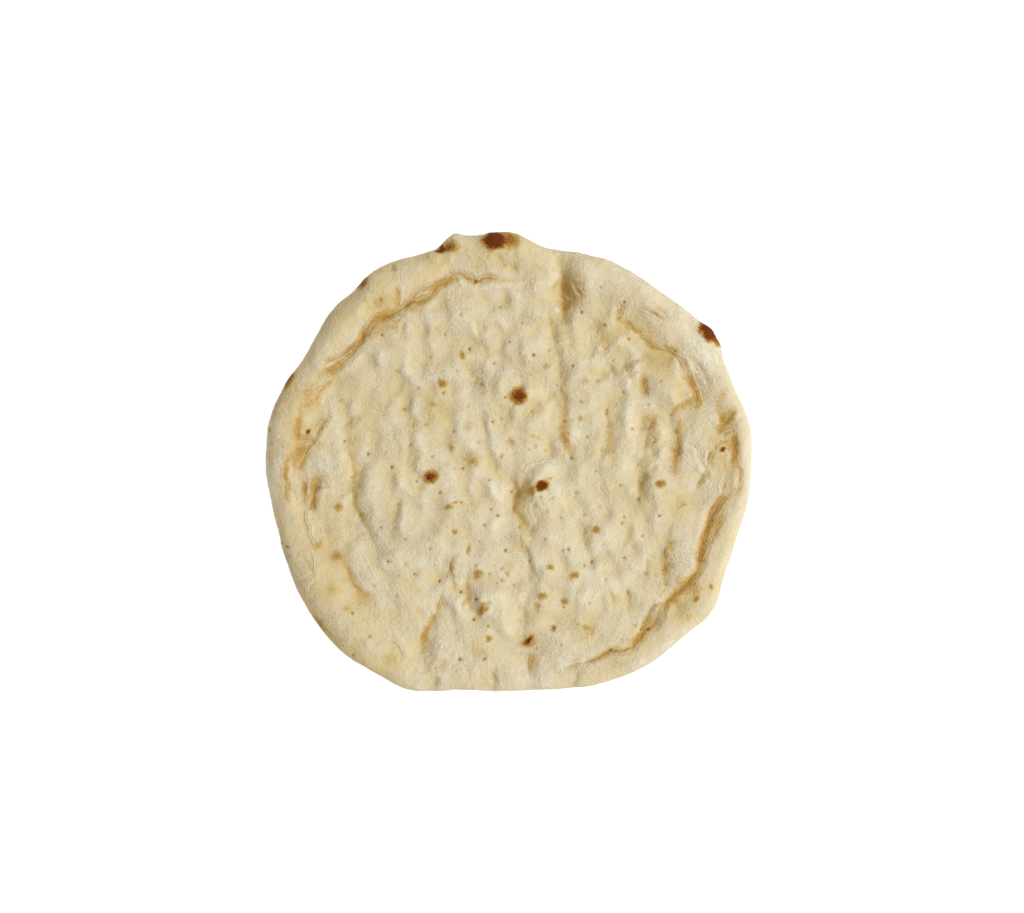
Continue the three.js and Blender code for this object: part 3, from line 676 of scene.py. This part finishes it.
def curve_through(points, steps=5):
    """A smooth path through a few points (Catmull-Rom)."""
    p = np.array([points[0], *points, points[-1]], float)
    path = []
    for a, b, c, d in zip(p, p[1:], p[2:], p[3:]):
        for t in np.arange(steps) / steps:
            path.append(0.5 * (2 * b + (c - a) * t + (2 * a - 5 * b + 4 * c - d) * t**2
                               + (3 * b - a - 3 * c + d) * t**3))
    path.append(p[-1])
    return np.array(path)


def along_path(x, y, points, margin):
    """The points near a path: their numbers, how far east and north of it they lie, on which side
    of it (1 left, -1 right), and where along it, from 0 to 1."""
    path = curve_through(points)
    low, high = path.min(axis=0) - margin, path.max(axis=0) + margin
    near = np.nonzero((x > low[0]) & (x < high[0]) & (y > low[1]) & (y < high[1]))[0]
    best = np.full(len(near), 1e9)
    east = np.zeros(len(near))
    north = np.zeros(len(near))
    side = np.ones(len(near))
    place = np.zeros(len(near))
    pieces = len(path) - 1
    for k, (start, end) in enumerate(zip(path, path[1:])):
        ex, ey = end - start
        px, py = x[near] - start[0], y[near] - start[1]
        t = np.clip((px * ex + py * ey) / (ex * ex + ey * ey + 1e-9), 0, 1)
        dx, dy = px - t * ex, py - t * ey
        distance = np.hypot(dx, dy)
        closer = distance < best
        best[closer] = distance[closer]
        east[closer] = dx[closer]
        north[closer] = dy[closer]
        side[closer] = np.where(ex * dy > ey * dx, 1, -1)[closer]
        place[closer] = ((k + t) / pieces)[closer]
    return near, east, north, side, place


def fading(place, share=0.18):
    """1 along the middle of a path, falling to 0.25 at its two ends."""
    end = np.minimum(place, 1 - place) / share
    return 0.25 + 0.75 * np.clip(end, 0, 1)


def in_oval(x, y, middle_x, middle_y, half_x, half_y=None, tilt=0):
    """Plan coordinates in the frame of an oval mark, in multiples of its half sizes."""
    turn = math.radians(tilt)
    dx, dy = x - middle_x, y - middle_y
    return ((dx * math.cos(turn) + dy * math.sin(turn)) / half_x,
            (dy * math.cos(turn) - dx * math.sin(turn)) / (half_y or half_x))


def press_creases(x, y, relief):
    """Presses the creases in; returns the distance from the nearest one, in mm and above 0 on the
    rim's side of it, and how browned it is."""
    groove_share = 0.5  # the share of a crease's depth that goes down
    rim_lip, field_lip = 0.1, 0.3  # the shares that stand up along its two sides
    nearest = np.full(len(x), FAR)
    browning_and_shade = np.zeros(len(x))
    for depth, reach, browned, points in CREASES:
        near, east, north, side, place = along_path(x, y, points, FAR)
        outward = side * np.sign(np.sum(side * (east * x[near] + north * y[near])))
        distance = np.hypot(east, north)
        fade = fading(place)
        groove = np.exp(-(distance / (0.9 * reach)) ** 1.4)
        lip = np.exp(-((distance - 1.7 * reach) / reach) ** 2) * np.where(outward > 0, rim_lip, field_lip)
        relief[near] += fade * depth * (lip - groove_share * groove)
        closer = distance < abs(nearest[near])
        nearest[near[closer]] = (distance * outward)[closer]
        strength = fade * browned * np.exp(-(distance / 4) ** 2)
        browning_and_shade[near] = np.maximum(browning_and_shade[near], strength)
    return nearest, browning_and_shade


def press_hollows(x, y, relief, vigour):
    """Presses the hollows in, gently from the left and steeply on the right; returns the distance
    from the nearest bottom, in mm and above 0 to the right of it, and how strongly painted shade lies on
    its wall."""
    gentle, steep = 2.6, 0.75  # reach of the left wall and of the right one, over the listed ones
    # How strongly painted shade lies on a hollow's wall, before each hollow's own share.
    usual_wall_shade = 0.6
    nearest = np.full(len(x), FAR)
    browning_and_shade = np.zeros(len(x))
    for depth, left, right, browned, points in HOLLOWS:
        near, east, north, side, place = along_path(x, y, points, 4 * max(left, right))
        rightward = side * np.sign(np.sum(side * east))
        distance = np.hypot(east, north) + 1e-6
        rightness = np.clip(0.5 + 0.8 * east / distance, 0, 1)
        reach = gentle * left + (steep * right - gentle * left) * rightness
        fade = fading(place, 0.3)
        relief[near] -= fade * depth * vigour[near] * np.exp(-(distance / reach) ** 1.35)
        closer = distance < abs(nearest[near])
        nearest[near[closer]] = (distance * rightward)[closer]
        # Painted shade on the wall, strongest near the bottom; the material lays it on the right wall,
        # which faces away from the key light.
        strength = np.clip(usual_wall_shade + browned, 0, 1) * fade * np.exp(-(distance / 5) ** 2)
        browning_and_shade[near] = np.maximum(browning_and_shade[near], strength)
    return nearest, browning_and_shade


def near_wrinkles(x, y):
    """The distance from the nearest hairline wrinkle, in mm and signed by its side, and its strength."""
    nearest = np.full(len(x), FAR)
    strength = np.zeros(len(x))
    for points in WRINKLES:
        near, east, north, side, place = along_path(x, y, points, 3)
        distance = np.hypot(east, north)
        closer = distance < abs(nearest[near])
        nearest[near[closer]] = (distance * side)[closer]
        here = fading(place, 0.3) * np.exp(-(distance / 1.3) ** 2)
        strength[near] = np.maximum(strength[near], here)
    return nearest, strength


def raise_swells(x, y, relief):
    """Raises the swells: domes that end at their edge, or fade out before it."""
    edge = 1.25  # in half sizes
    for height, softness, *oval in SWELLS:
        u, v = in_oval(x, y, *oval)
        relief += height * (1 - np.clip(np.hypot(u, v) / edge, 0, 1) ** 2) ** softness


def press_dimples(x, y, relief):
    """Presses the dimples in, as soft bowls."""
    for depth, *oval in DIMPLES:
        u, v = in_oval(x, y, *oval)
        relief -= depth * np.exp(-(u * u + v * v))


def burn_spots(x, y):
    """How toasted each point is, from 0 to 1; the darker a spot, the sharper its edge."""
    spread = 1.1
    burn = np.zeros(len(x))
    for dark, *oval in SPOTS:
        u, v = in_oval(x, y, *oval)
        sharpness = 1.6 + 2.6 * dark**2
        burn = np.maximum(burn, dark * np.exp(-(np.hypot(u, v) / spread) ** sharpness))
    return burn


def prick(x, y, places, seed):
    """Pinholes, each moved to the nearest point of the mesh: cones that rise from 0 to at most 1."""
    rng = np.random.default_rng(seed)
    pin = np.zeros(len(x))
    for east, north in places:
        nearest = np.argmin((x - east) ** 2 + (y - north) ** 2)
        distance = np.hypot(x - x[nearest], y - y[nearest])
        depth = rng.uniform(0.7, 1.0)
        reach = rng.uniform(1.2, 1.9)
        pin = np.maximum(pin, depth - distance / reach)
    return pin


def union(x, y, marks):
    """Overlapping soft ovals joined into one: 0 outside them all, up to their strength inside."""
    left_over = np.ones(len(x))
    for strength, *oval in marks:
        u, v = in_oval(x, y, *oval)
        left_over *= 1 - strength * np.exp(-(u * u + v * v))
    return 1 - left_over


def tint_and_shade(x, y):
    """How much darker, by toast and painted shade, or paler below 0, by flour and painted light, the
    dough is at each point, from all the tints together.
    """
    tightness = 0.7
    toast_and_shade = np.zeros(len(x))
    for strength, *oval in TINTS_AND_SHADE:
        u, v = in_oval(x, y, *oval)
        toast_and_shade += strength * np.exp(-(u * u + v * v) * tightness)
    return toast_and_shade


# ---------------------------------------------------------------- the bread

def plain_bread(cad):
    """The bread's mesh before its marks: the CAD bread's surface, with the facets smoothed away."""
    tree = BVHTree.FromPolygons([v.co for v in cad.vertices], [p.vertices for p in cad.polygons])
    places, faces = bread_mesh(tree)
    mesh = bpy.data.meshes.new("flatbread")
    mesh.from_pydata((places * MM).tolist(), [], faces)
    edges = np.empty(len(mesh.edges) * 2, int)
    mesh.edges.foreach_get("vertices", edges)
    edges = edges.reshape(-1, 2)
    # Smoothing shrinks the plan a little, so it is stretched back to its size.
    full = np.ptp(places[:, :2], axis=0)
    places = smoothed(places, edges, FACET_ROUNDS)
    places[:, :2] *= full / np.ptp(places[:, :2], axis=0)
    # The field's hollows are pressed in again, more finely, so the CAD's own are made gentle.
    in_field = np.clip((FIELD_EDGE - np.hypot(*places[:, :2].T)) / EDGE_FADE, 0, 1)
    gentle = smoothed(places[:, 2], edges, GENTLE_ROUNDS)
    places[:, 2] += in_field * (gentle - places[:, 2])
    mesh.vertices.foreach_set("co", (places * MM).ravel())
    mesh.update()
    normals = np.empty(len(places) * 3)
    mesh.vertices.foreach_get("normal", normals)
    return mesh, places, normals.reshape(-1, 3), edges


def pillows(x, y, z):
    """Puffs with sharp valleys between them, in two sizes."""
    large = np.sqrt(noise_field(x, y, z, 13, 7, octaves=1, stretch=1.2) ** 2 + 0.01)
    small = noise_field(x, y, z, 7, 14, octaves=1, stretch=1.15)
    return LARGE_PUFFS * large + SMALL_PUFFS * small


def dough_relief(x, y, z, upper):
    """Pillows, which lean to the left, and the lumps and grain of the dough, in mm."""
    share = np.clip((PUFF_EDGE - np.hypot(x, y)) / EDGE_FADE, RIM_PUFFS, 1) * upper
    pillow = pillows(x, y, z)
    pillow = pillows(x + LEAN * pillow, y, z)
    lumps = LUMPS * noise_field(x, y, z, 20, 8, stretch=1.4)
    grain = GRAIN * noise_field(x, y, z, 3.0, 9) + FINE_GRAIN * noise_field(x, y, z, 1.5, 10, octaves=1)
    return share * pillow + (0.3 + 0.7 * upper) * lumps + (0.5 + 0.5 * upper) * grain


def wandering(along, x, y, z, wander, first_seed):
    """A coordinate of the plan, swayed by noise, so that the listed marks turn out ragged."""
    for seed, (size, reach) in enumerate(wander, first_seed):
        along = along + reach * noise_field(x, y, z, size, seed)
    return along


def set_down(moved, places, normals, x, y, z):
    """Keeps the underside nearly flat where the bread rests, and lets nothing sink below it."""
    resting = normals[:, 2] < -0.9
    unevenness = 0.22 * (1 + noise_field(x, y, z, 9, 13))
    moved[resting] = places[resting]
    moved[resting, 2] += np.clip(unevenness[resting], 0, 1)
    moved[:, 2] = np.maximum(moved[:, 2], 0)


def model_bread(cad):
    """The bread's mesh with its marks pressed in, and with what its material needs to know of them."""
    mesh, places, normals, edges = plain_bread(cad)
    x, y, z = places.T
    # Both are 1 on the top and 0 on the underside; the second stays 1 further down the edge.
    upper = np.clip((normals[:, 2] + 0.1) / 0.5, 0, 1)
    outside = np.clip((normals[:, 2] + 0.7) / 0.5, 0, 1)

    warp_x = wandering(x, x, y, z, SLOW_WANDER, 1)
    warp_y = wandering(y, x, y, z, SLOW_WANDER, 3)
    ragged_x = wandering(x, x, y, z, FINE_WANDER, 5)
    ragged_y = wandering(y, x, y, z, FINE_WANDER, 6)
    relief = np.zeros(len(x))
    fold, folded = press_creases(warp_x, warp_y, relief)
    # Along a hollow, some stretches are deeper than others.
    vigour = np.clip(1 + 2.0 * noise_field(x, y, z, 12, 15), 0.4, 1.5)
    hollow, hollow_shade = press_hollows(warp_x, warp_y, relief, vigour)
    raise_swells(warp_x, warp_y, relief)
    press_dimples(warp_x, warp_y, relief)
    wrinkle, wrinkled = near_wrinkles(warp_x, warp_y)
    burn = burn_spots(ragged_x, ragged_y)
    pin = prick(x, y, PINHOLES, 12)
    relief = upper * (MARK_GAIN * relief + SPOT_RISE * burn - PINHOLE_DEPTH * pin)
    relief += dough_relief(x, y, z, upper)
    relief -= np.median(relief[upper == 1])
    moved = places + normals * relief[:, None]
    set_down(moved, places, normals, x, y, z)
    mesh.vertices.foreach_set("co", (moved * MM).ravel())

    marks = {
        "hollow": hollow,
        "hollow_shade": hollow_shade * upper,
        "fold": fold,
        "folded": folded * upper,
        "wrinkle": wrinkle,
        "wrinkled": wrinkled * upper,
        "toast_and_shade": tint_and_shade(warp_x, warp_y) * upper,
        "stain": union(ragged_x, ragged_y, STAINS) * outside,
        "grit_and_shade": union(warp_x, warp_y, GRIT_AND_SHADE) * upper,
        "burn": burn * outside,
        "pin": pin * upper,
        # how far each point stands above its near and its wider surroundings; the crust paints shade from
        # it in what lies deep and highlight on what stands up
        "fine": relief - smoothed(relief, edges, 12),
        "broad": smoothed(relief, edges, 6) - smoothed(relief, edges, 60),
        "under": np.clip(-normals[:, 2] * 1.6 - 0.4, 0, 1),
    }
    for name, values in marks.items():
        attribute = mesh.attributes.new(name, "FLOAT", "POINT")
        attribute.data.foreach_set("value", values.astype(np.float32))
    mesh.polygons.foreach_set("use_smooth", np.ones(len(mesh.polygons), bool))
    mesh.update()
    piece = bpy.data.objects.new("flatbread", mesh)
    bpy.context.scene.collection.objects.link(piece)
    return piece


# ---------------------------------------------------------------- the crust

def srgb(red, green, blue):
    """A colour given as 0 to 255, as the linear colour that a shader takes."""
    def linear(value):
        value /= 255
        return value / 12.92 if value <= 0.04045 else ((value + 0.055) / 1.055) ** 2.4
    return (linear(red), linear(green), linear(blue), 1)


class Number:
    """A number that a material works out at every point; arithmetic on it adds nodes."""

    def __init__(self, nodes, socket):
        self.nodes = nodes
        self.socket = socket

    def __add__(self, other):
        return self.nodes.math("ADD", self, other)

    def __sub__(self, other):
        return self.nodes.math("SUBTRACT", self, other)

    def __mul__(self, other):
        return self.nodes.math("MULTIPLY", self, other)

    def __abs__(self):
        return self.nodes.math("ABSOLUTE", self)

    __radd__ = __add__
    __rmul__ = __mul__


class Nodes:
    """Short ways to write a material's nodes."""

    def __init__(self, material):
        material.use_nodes = True
        self.tree = material.node_tree
        self.tree.nodes.clear()

    def new(self, kind, **settings):
        node = self.tree.nodes.new(kind)
        for name, value in settings.items():
            setattr(node, name, value)
        return node

    def feed(self, socket, value):
        """Links a number or a node's output to a socket, or sets the socket to a plain value."""
        if isinstance(value, Number):
            value = value.socket
        if isinstance(value, bpy.types.NodeSocket):
            self.tree.links.new(value, socket)
        else:
            socket.default_value = value

    def math(self, operation, *values):
        node = self.new("ShaderNodeMath", operation=operation)
        for socket, value in zip(node.inputs, values):
            self.feed(socket, value)
        return Number(self, node.outputs[0])

    def step(self, value, low, high, to_low=0.0, to_high=1.0):
        """A smooth climb from to_low to to_high as value goes from low to high."""
        node = self.new("ShaderNodeMapRange", interpolation_type="SMOOTHSTEP")
        for socket, given in zip(node.inputs, (value, low, high, to_low, to_high)):
            self.feed(socket, given)
        return Number(self, node.outputs[0])

    def attribute(self, name):
        """A number that the mesh holds at its points."""
        return Number(self, self.new("ShaderNodeAttribute", attribute_name=name).outputs["Fac"])

    def noise(self, place, size_mm, detail=3.0, rough=0.55):
        """Noise round 0.5, with features of the given size."""
        node = self.new("ShaderNodeTexNoise")
        self.feed(node.inputs["Vector"], place)
        node.inputs["Scale"].default_value = 1000 / size_mm
        node.inputs["Detail"].default_value = detail
        node.inputs["Roughness"].default_value = rough
        return Number(self, node.outputs["Fac"])

    def shift(self, place, offset):
        node = self.new("ShaderNodeVectorMath", operation="ADD")
        self.feed(node.inputs[0], place)
        self.feed(node.inputs[1], offset)
        return node.outputs[0]

    def mix(self, factor, first, second):
        """A colour that goes from the first to the second as factor goes from 0 to 1."""
        node = self.new("ShaderNodeMix", data_type="RGBA")
        self.feed(node.inputs["Factor"], factor)
        colours = [socket for socket in node.inputs if socket.type == "RGBA"]
        self.feed(colours[0], first)
        self.feed(colours[1], second)
        return next(socket for socket in node.outputs if socket.type == "RGBA")

    def ramp(self, value, stops):
        """The colour at value between stops, which are places from 0 to 1 and their colours."""
        node = self.new("ShaderNodeValToRGB")
        self.feed(node.inputs[0], value)
        ramp = node.color_ramp
        while len(ramp.elements) < len(stops):
            ramp.elements.new(0.5)
        for element, (place, colour) in zip(ramp.elements, stops):
            element.position = place
            element.color = colour
        return node.outputs[0]


CREAM = srgb(209, 195, 163)
YELLOW = srgb(207, 188, 140)
PALE = srgb(217, 207, 178)
# Flour white, also a painted highlight on what stands up and on the hairline wrinkles.
FLOUR_AND_HIGHLIGHT = srgb(225, 219, 196)
TAN = srgb(190, 166, 116)
# Grey tan of the gritty places, partly painted shade.
SHADE_GREY_TAN = srgb(180, 162, 124)
# Tan of the painted shade on the hollows' right walls.
SHADED_WALL_TAN = srgb(188, 161, 107)
HALO_TAN = srgb(184, 156, 98)
TOAST = srgb(176, 140, 72)
OCHRE = srgb(188, 150, 70)
AMBER = srgb(168, 122, 46)
BROWN = srgb(144, 84, 34)
CHAR = srgb(104, 50, 18)
PIT = srgb(134, 88, 38)


def dough_colour(n, place, mottle, grit):
    """Cream, paler on what stands up and duller in what lies deep, with slow changes of hue. The paleness
    and the dullness are partly flour on the tops and browning in the hollows, partly painted highlight
    and painted shade.
    """
    # Painted shade and highlight, partly: the colour follows the height of the relief, tan deep down and
    # flour-pale on top.
    height = 0.45 * n.attribute("fine") + 0.25 * n.attribute("broad")
    mood = 0.35 * (mottle - 0.5) + 0.45 * (grit - 0.5)
    # The tints darken the dough with toast and painted shade, and lighten it with flour and painted
    # light.
    level = height + mood - 0.5 * n.attribute("toast_and_shade")
    colour = n.ramp(level + 0.5, [
        (0.0, TAN), (0.32, YELLOW), (0.52, CREAM), (0.75, PALE), (1.0, FLOUR_AND_HIGHLIGHT)])
    yellow = n.step(n.noise(place, 18), 0.45, 0.62, 0.0, 0.48)
    colour = n.mix(yellow, colour, YELLOW)
    # Painted shade, partly: the gritty places are greyed, standing both for grit and for the shade on
    # slopes that face away from the light.
    grit_shade = n.attribute("grit_and_shade") * n.step(mottle, 0.3, 0.65)
    return n.mix(0.6 * grit_shade, colour, SHADE_GREY_TAN)


def line(n, distance, offset, wander, width):
    """1 on a thin line that runs at about an offset from a crease, 0 past its width."""
    return n.step(abs(distance - offset - wander), 0.0, width, 1.0, 0.0)


def crease_lines(n, place):
    """The fine parallel lines along the creases, from 0 to 1; they come and go."""
    lines = []
    for offset, size, sway, width, strength in [
            (0.0, 7, 1.6, 0.5, 1.0), (1.0, 9, 3.0, 0.4, 0.8), (2.2, 12, 5.0, 0.4, 0.6)]:
        wander = sway * (n.noise(n.shift(place, (offset, 0.3, 0)), size, 2) - 0.5)
        lines.append(strength * line(n, n.attribute("fold"), offset, wander, width))
    strongest = n.math("MAXIMUM", lines[0], n.math("MAXIMUM", lines[1], lines[2]))
    broken = n.step(n.noise(place, 4.5, 2), 0.36, 0.6, 0.25, 1.0)
    return strongest * broken * n.step(n.attribute("folded"), 0.05, 0.7)


def crease_colour(n, place, colour, lines):
    """Ochre in the creases, sharp towards the field and fading out over the rim."""
    distance = n.attribute("fold")
    towards_field = n.step(distance, -1.3, -0.2)
    over_rim = n.step(distance, 0.0, 4.2, 1.0, 0.0)
    patchy = n.step(n.noise(place, 6, 3, 0.6), 0.36, 0.6, 0.3, 1.0)
    warm = towards_field * over_rim * patchy * n.attribute("folded")
    colour = n.mix(0.85 * warm, colour, OCHRE)
    return n.mix(0.48 * lines, colour, BROWN)


def hollow_shade_colour(n, place, colour):
    """Painted shade: tan on the right wall of the hollows, which faces away from the key light, crisp
    along the bottom and fading out upwards, and a darker line along the bottom.
    """
    wander = 1.8 * (n.noise(place, 4) - 0.5)
    distance = n.attribute("hollow") - wander
    wall = n.step(distance, -0.6, 0.3) * n.step(distance, 0.2, 4.4, 1.0, 0.0)
    patchy = n.step(n.noise(place, 8, 4, 0.6), 0.34, 0.6, 0.3, 1.0) * n.attribute("hollow_shade")
    colour = n.mix(wall * patchy, colour, SHADED_WALL_TAN)
    # Painted shade: a darker ochre line along the bottom of each hollow.
    bottom = line(n, n.attribute("hollow"), 0.1, wander, 0.6)
    return n.mix(0.4 * (bottom * patchy), colour, OCHRE)


def stain_colour(n, place, colour):
    """Ochre stains with ragged, speckled edges, amber where they are strongest."""
    stain = n.attribute("stain")
    speckle = 1.3 * (n.noise(place, 1.6, 5, 0.75) - 0.5)
    ragged = stain + speckle * n.step(stain, 0.02, 0.4)
    tone = n.ramp(ragged, [(0.0, TAN), (0.45, OCHRE), (1.0, AMBER)])
    return n.mix(n.step(ragged, 0.05, 0.75, 0.0, 0.8), colour, tone)


def speck_colour(n, place, colour):
    """Small tan specks, and the pinholes with their ochre rings."""
    speck = n.step(n.noise(place, 1.0, 2, 0.6), 0.68, 0.80, 0.0, 0.3)
    pin = n.attribute("pin")
    colour = n.mix(speck, colour, TAN)
    colour = n.mix(n.step(pin, 0.05, 0.6, 0.0, 0.4), colour, OCHRE)
    return n.mix(n.step(pin, 0.45, 0.8, 0.0, 0.85), colour, PIT)


def burnt_colour(n, burn, colour):
    """Toasted blisters: a tan halo, an amber ring and a charred crown."""
    burnt = n.ramp(burn, [
        (0.0, TAN), (0.24, HALO_TAN), (0.38, TOAST), (0.5, AMBER), (0.66, BROWN), (0.85, CHAR)])
    return n.mix(n.step(burn, 0.03, 0.34), colour, burnt)


def sole_colour(n, place):
    """The underside, baked on the hot floor: leopard spots on a floury base."""
    leopard = n.step(n.noise(place, 11, 3, 0.6), 0.50, 0.68)
    scorch = leopard * n.step(n.noise(place, 2.4), 0.3, 0.7, 0.35, 1.0)
    return n.ramp(scorch, [(0.0, PALE), (0.25, CREAM), (0.5, TAN), (0.8, OCHRE), (1.0, BROWN)])


def skin_height(n, place, wrinkle, lines):
    """The skin of the crust: smooth in some places, dry and finely wrinkled in others."""
    folds = abs(n.noise(place, 3.0) - 0.5)
    coarse = 0.55 * n.noise(place, 1.6, 4, 0.65) + 0.7 * folds
    zones = n.step(n.noise(place, 13, 2), 0.42, 0.62, 0.3, 0.8)
    height = coarse * (zones + n.attribute("grit_and_shade")) + 0.24 * n.noise(place, 0.8, 2)
    return height - 0.2 * n.attribute("pin") + 0.2 * wrinkle - 0.16 * lines


def crust_material():
    material = bpy.data.materials.new("baked_crust")
    n = Nodes(material)
    place = n.new("ShaderNodeTexCoord").outputs["Object"]
    mottle = n.noise(place, 5, 4)
    grit = n.noise(place, 1.1)
    lines = crease_lines(n, place)
    sway = n.noise(place, 3, 2) - 0.5
    wrinkle = line(n, n.attribute("wrinkle"), 0.0, sway, 0.5) * n.attribute("wrinkled")
    speckle = n.noise(place, 0.8, 3, 0.75) - 0.5
    burn = n.attribute("burn")
    burn = burn * (1.0 + speckle * n.step(burn, 0.45, 0.95, 2.2, 0.8))

    colour = dough_colour(n, place, mottle, grit)
    colour = hollow_shade_colour(n, place, colour)
    colour = stain_colour(n, place, colour)
    colour = crease_colour(n, place, colour, lines)
    # Painted highlight: the hairline wrinkles are made paler, as if they caught the light.
    colour = n.mix(0.42 * wrinkle, colour, FLOUR_AND_HIGHLIGHT)
    colour = speck_colour(n, place, colour)
    colour = burnt_colour(n, burn, colour)
    colour = n.mix(n.attribute("under"), colour, sole_colour(n, place))

    bump = n.new("ShaderNodeBump")
    bump.inputs["Strength"].default_value = 1.0
    bump.inputs["Distance"].default_value = SKIN * MM
    n.feed(bump.inputs["Height"], skin_height(n, place, wrinkle, lines))

    shader = n.new("ShaderNodeBsdfPrincipled")
    n.feed(shader.inputs["Base Color"], colour)
    n.feed(shader.inputs["Roughness"], n.step(burn, 0.2, 0.9, 0.84, 0.75) + 0.08 * grit)
    n.feed(shader.inputs["Normal"], bump.outputs[0])
    n.feed(shader.inputs["Specular IOR Level"], n.step(burn, 0.3, 0.9, 0.3, 0.05))
    shader.inputs["Subsurface Weight"].default_value = 0.12
    shader.inputs["Subsurface Radius"].default_value = (1.0, 0.6, 0.3)
    shader.inputs["Subsurface Scale"].default_value = 2.0 * MM
    output = n.new("ShaderNodeOutputMaterial")
    n.feed(output.inputs["Surface"], shader.outputs[0])
    return material


# ---------------------------------------------------------------- the set

def floor():
    """A pale floor that glows like a light table, so that shadows stay faint."""
    size = 3.0
    mesh = bpy.data.meshes.new("floor")
    corners = [(-size, -size, 0), (size, -size, 0), (size, size, 0), (-size, size, 0)]
    mesh.from_pydata(corners, [], [(0, 1, 2, 3)])
    piece = bpy.data.objects.new("floor", mesh)
    bpy.context.scene.collection.objects.link(piece)
    material = bpy.data.materials.new("pale_floor")
    n = Nodes(material)
    shader = n.new("ShaderNodeBsdfPrincipled")
    shader.inputs["Base Color"].default_value = (0.45, 0.45, 0.45, 1)
    shader.inputs["Roughness"].default_value = 0.9
    shader.inputs["Emission Color"].default_value = (0.97, 0.985, 1.0, 1)
    shader.inputs["Emission Strength"].default_value = 0.79
    output = n.new("ShaderNodeOutputMaterial")
    n.feed(output.inputs["Surface"], shader.outputs[0])
    mesh.materials.append(material)


def soft_light(name, azimuth, elevation, distance, size, power, colour):
    """An area light that shines on the bread from a direction given in degrees."""
    data = bpy.data.lights.new(name, "AREA")
    data.color = colour
    data.shape = "DISK"
    data.size = size
    data.energy = power
    lamp = bpy.data.objects.new(name, data)
    side, up = math.radians(azimuth), math.radians(elevation)
    way = Vector((math.cos(up) * math.cos(side), math.cos(up) * math.sin(side), math.sin(up)))
    lamp.location = way * distance
    lamp.rotation_euler = way.to_track_quat("Z", "Y").to_euler()
    bpy.context.scene.collection.objects.link(lamp)


def lights():
    """A cool key light from the right, a weak fill from the back and a warm sky."""
    cool = (0.90, 0.945, 1.0)
    white = (1, 1, 1)
    soft_light("key", azimuth=-8, elevation=46, distance=3.5, size=1.0, power=103, colour=cool)
    soft_light("fill", azimuth=100, elevation=60, distance=3.0, size=2.0, power=7, colour=white)
    world = bpy.data.worlds.new("studio")
    world.use_nodes = True
    sky = world.node_tree.nodes["Background"]
    sky.inputs["Color"].default_value = (1.0, 0.945, 0.875, 1)
    sky.inputs["Strength"].default_value = 0.525
    bpy.context.scene.world = world


def camera():
    """Straight above the bread, which lies a little to the left of and below the picture's middle."""
    lens, film = 85.0, 36.0
    breads_across = 2.101  # width of the picture, over the bread's
    aside = (1.2, 2.25)  # where the camera stands off the bread's middle, in mm
    bread_width = cad_box[1][0] - cad_box[0][0]
    view_width = breads_across * bread_width
    data = bpy.data.cameras.new("camera")
    data.lens = lens
    data.sensor_width = film
    data.clip_end = 50
    above = bpy.data.objects.new("camera", data)
    above.location = (aside[0] * MM, aside[1] * MM, WAIST * MM + view_width * lens / film)
    bpy.context.scene.collection.objects.link(above)
    bpy.context.scene.camera = above


def main():
    bread = model_bread(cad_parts[NODE].data)
    bread.data.materials.append(crust_material())
    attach(bread, "root")
    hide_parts(NODE)
    floor()
    lights()
    camera()
    bpy.context.scene.view_settings.view_transform = "Standard"


main()
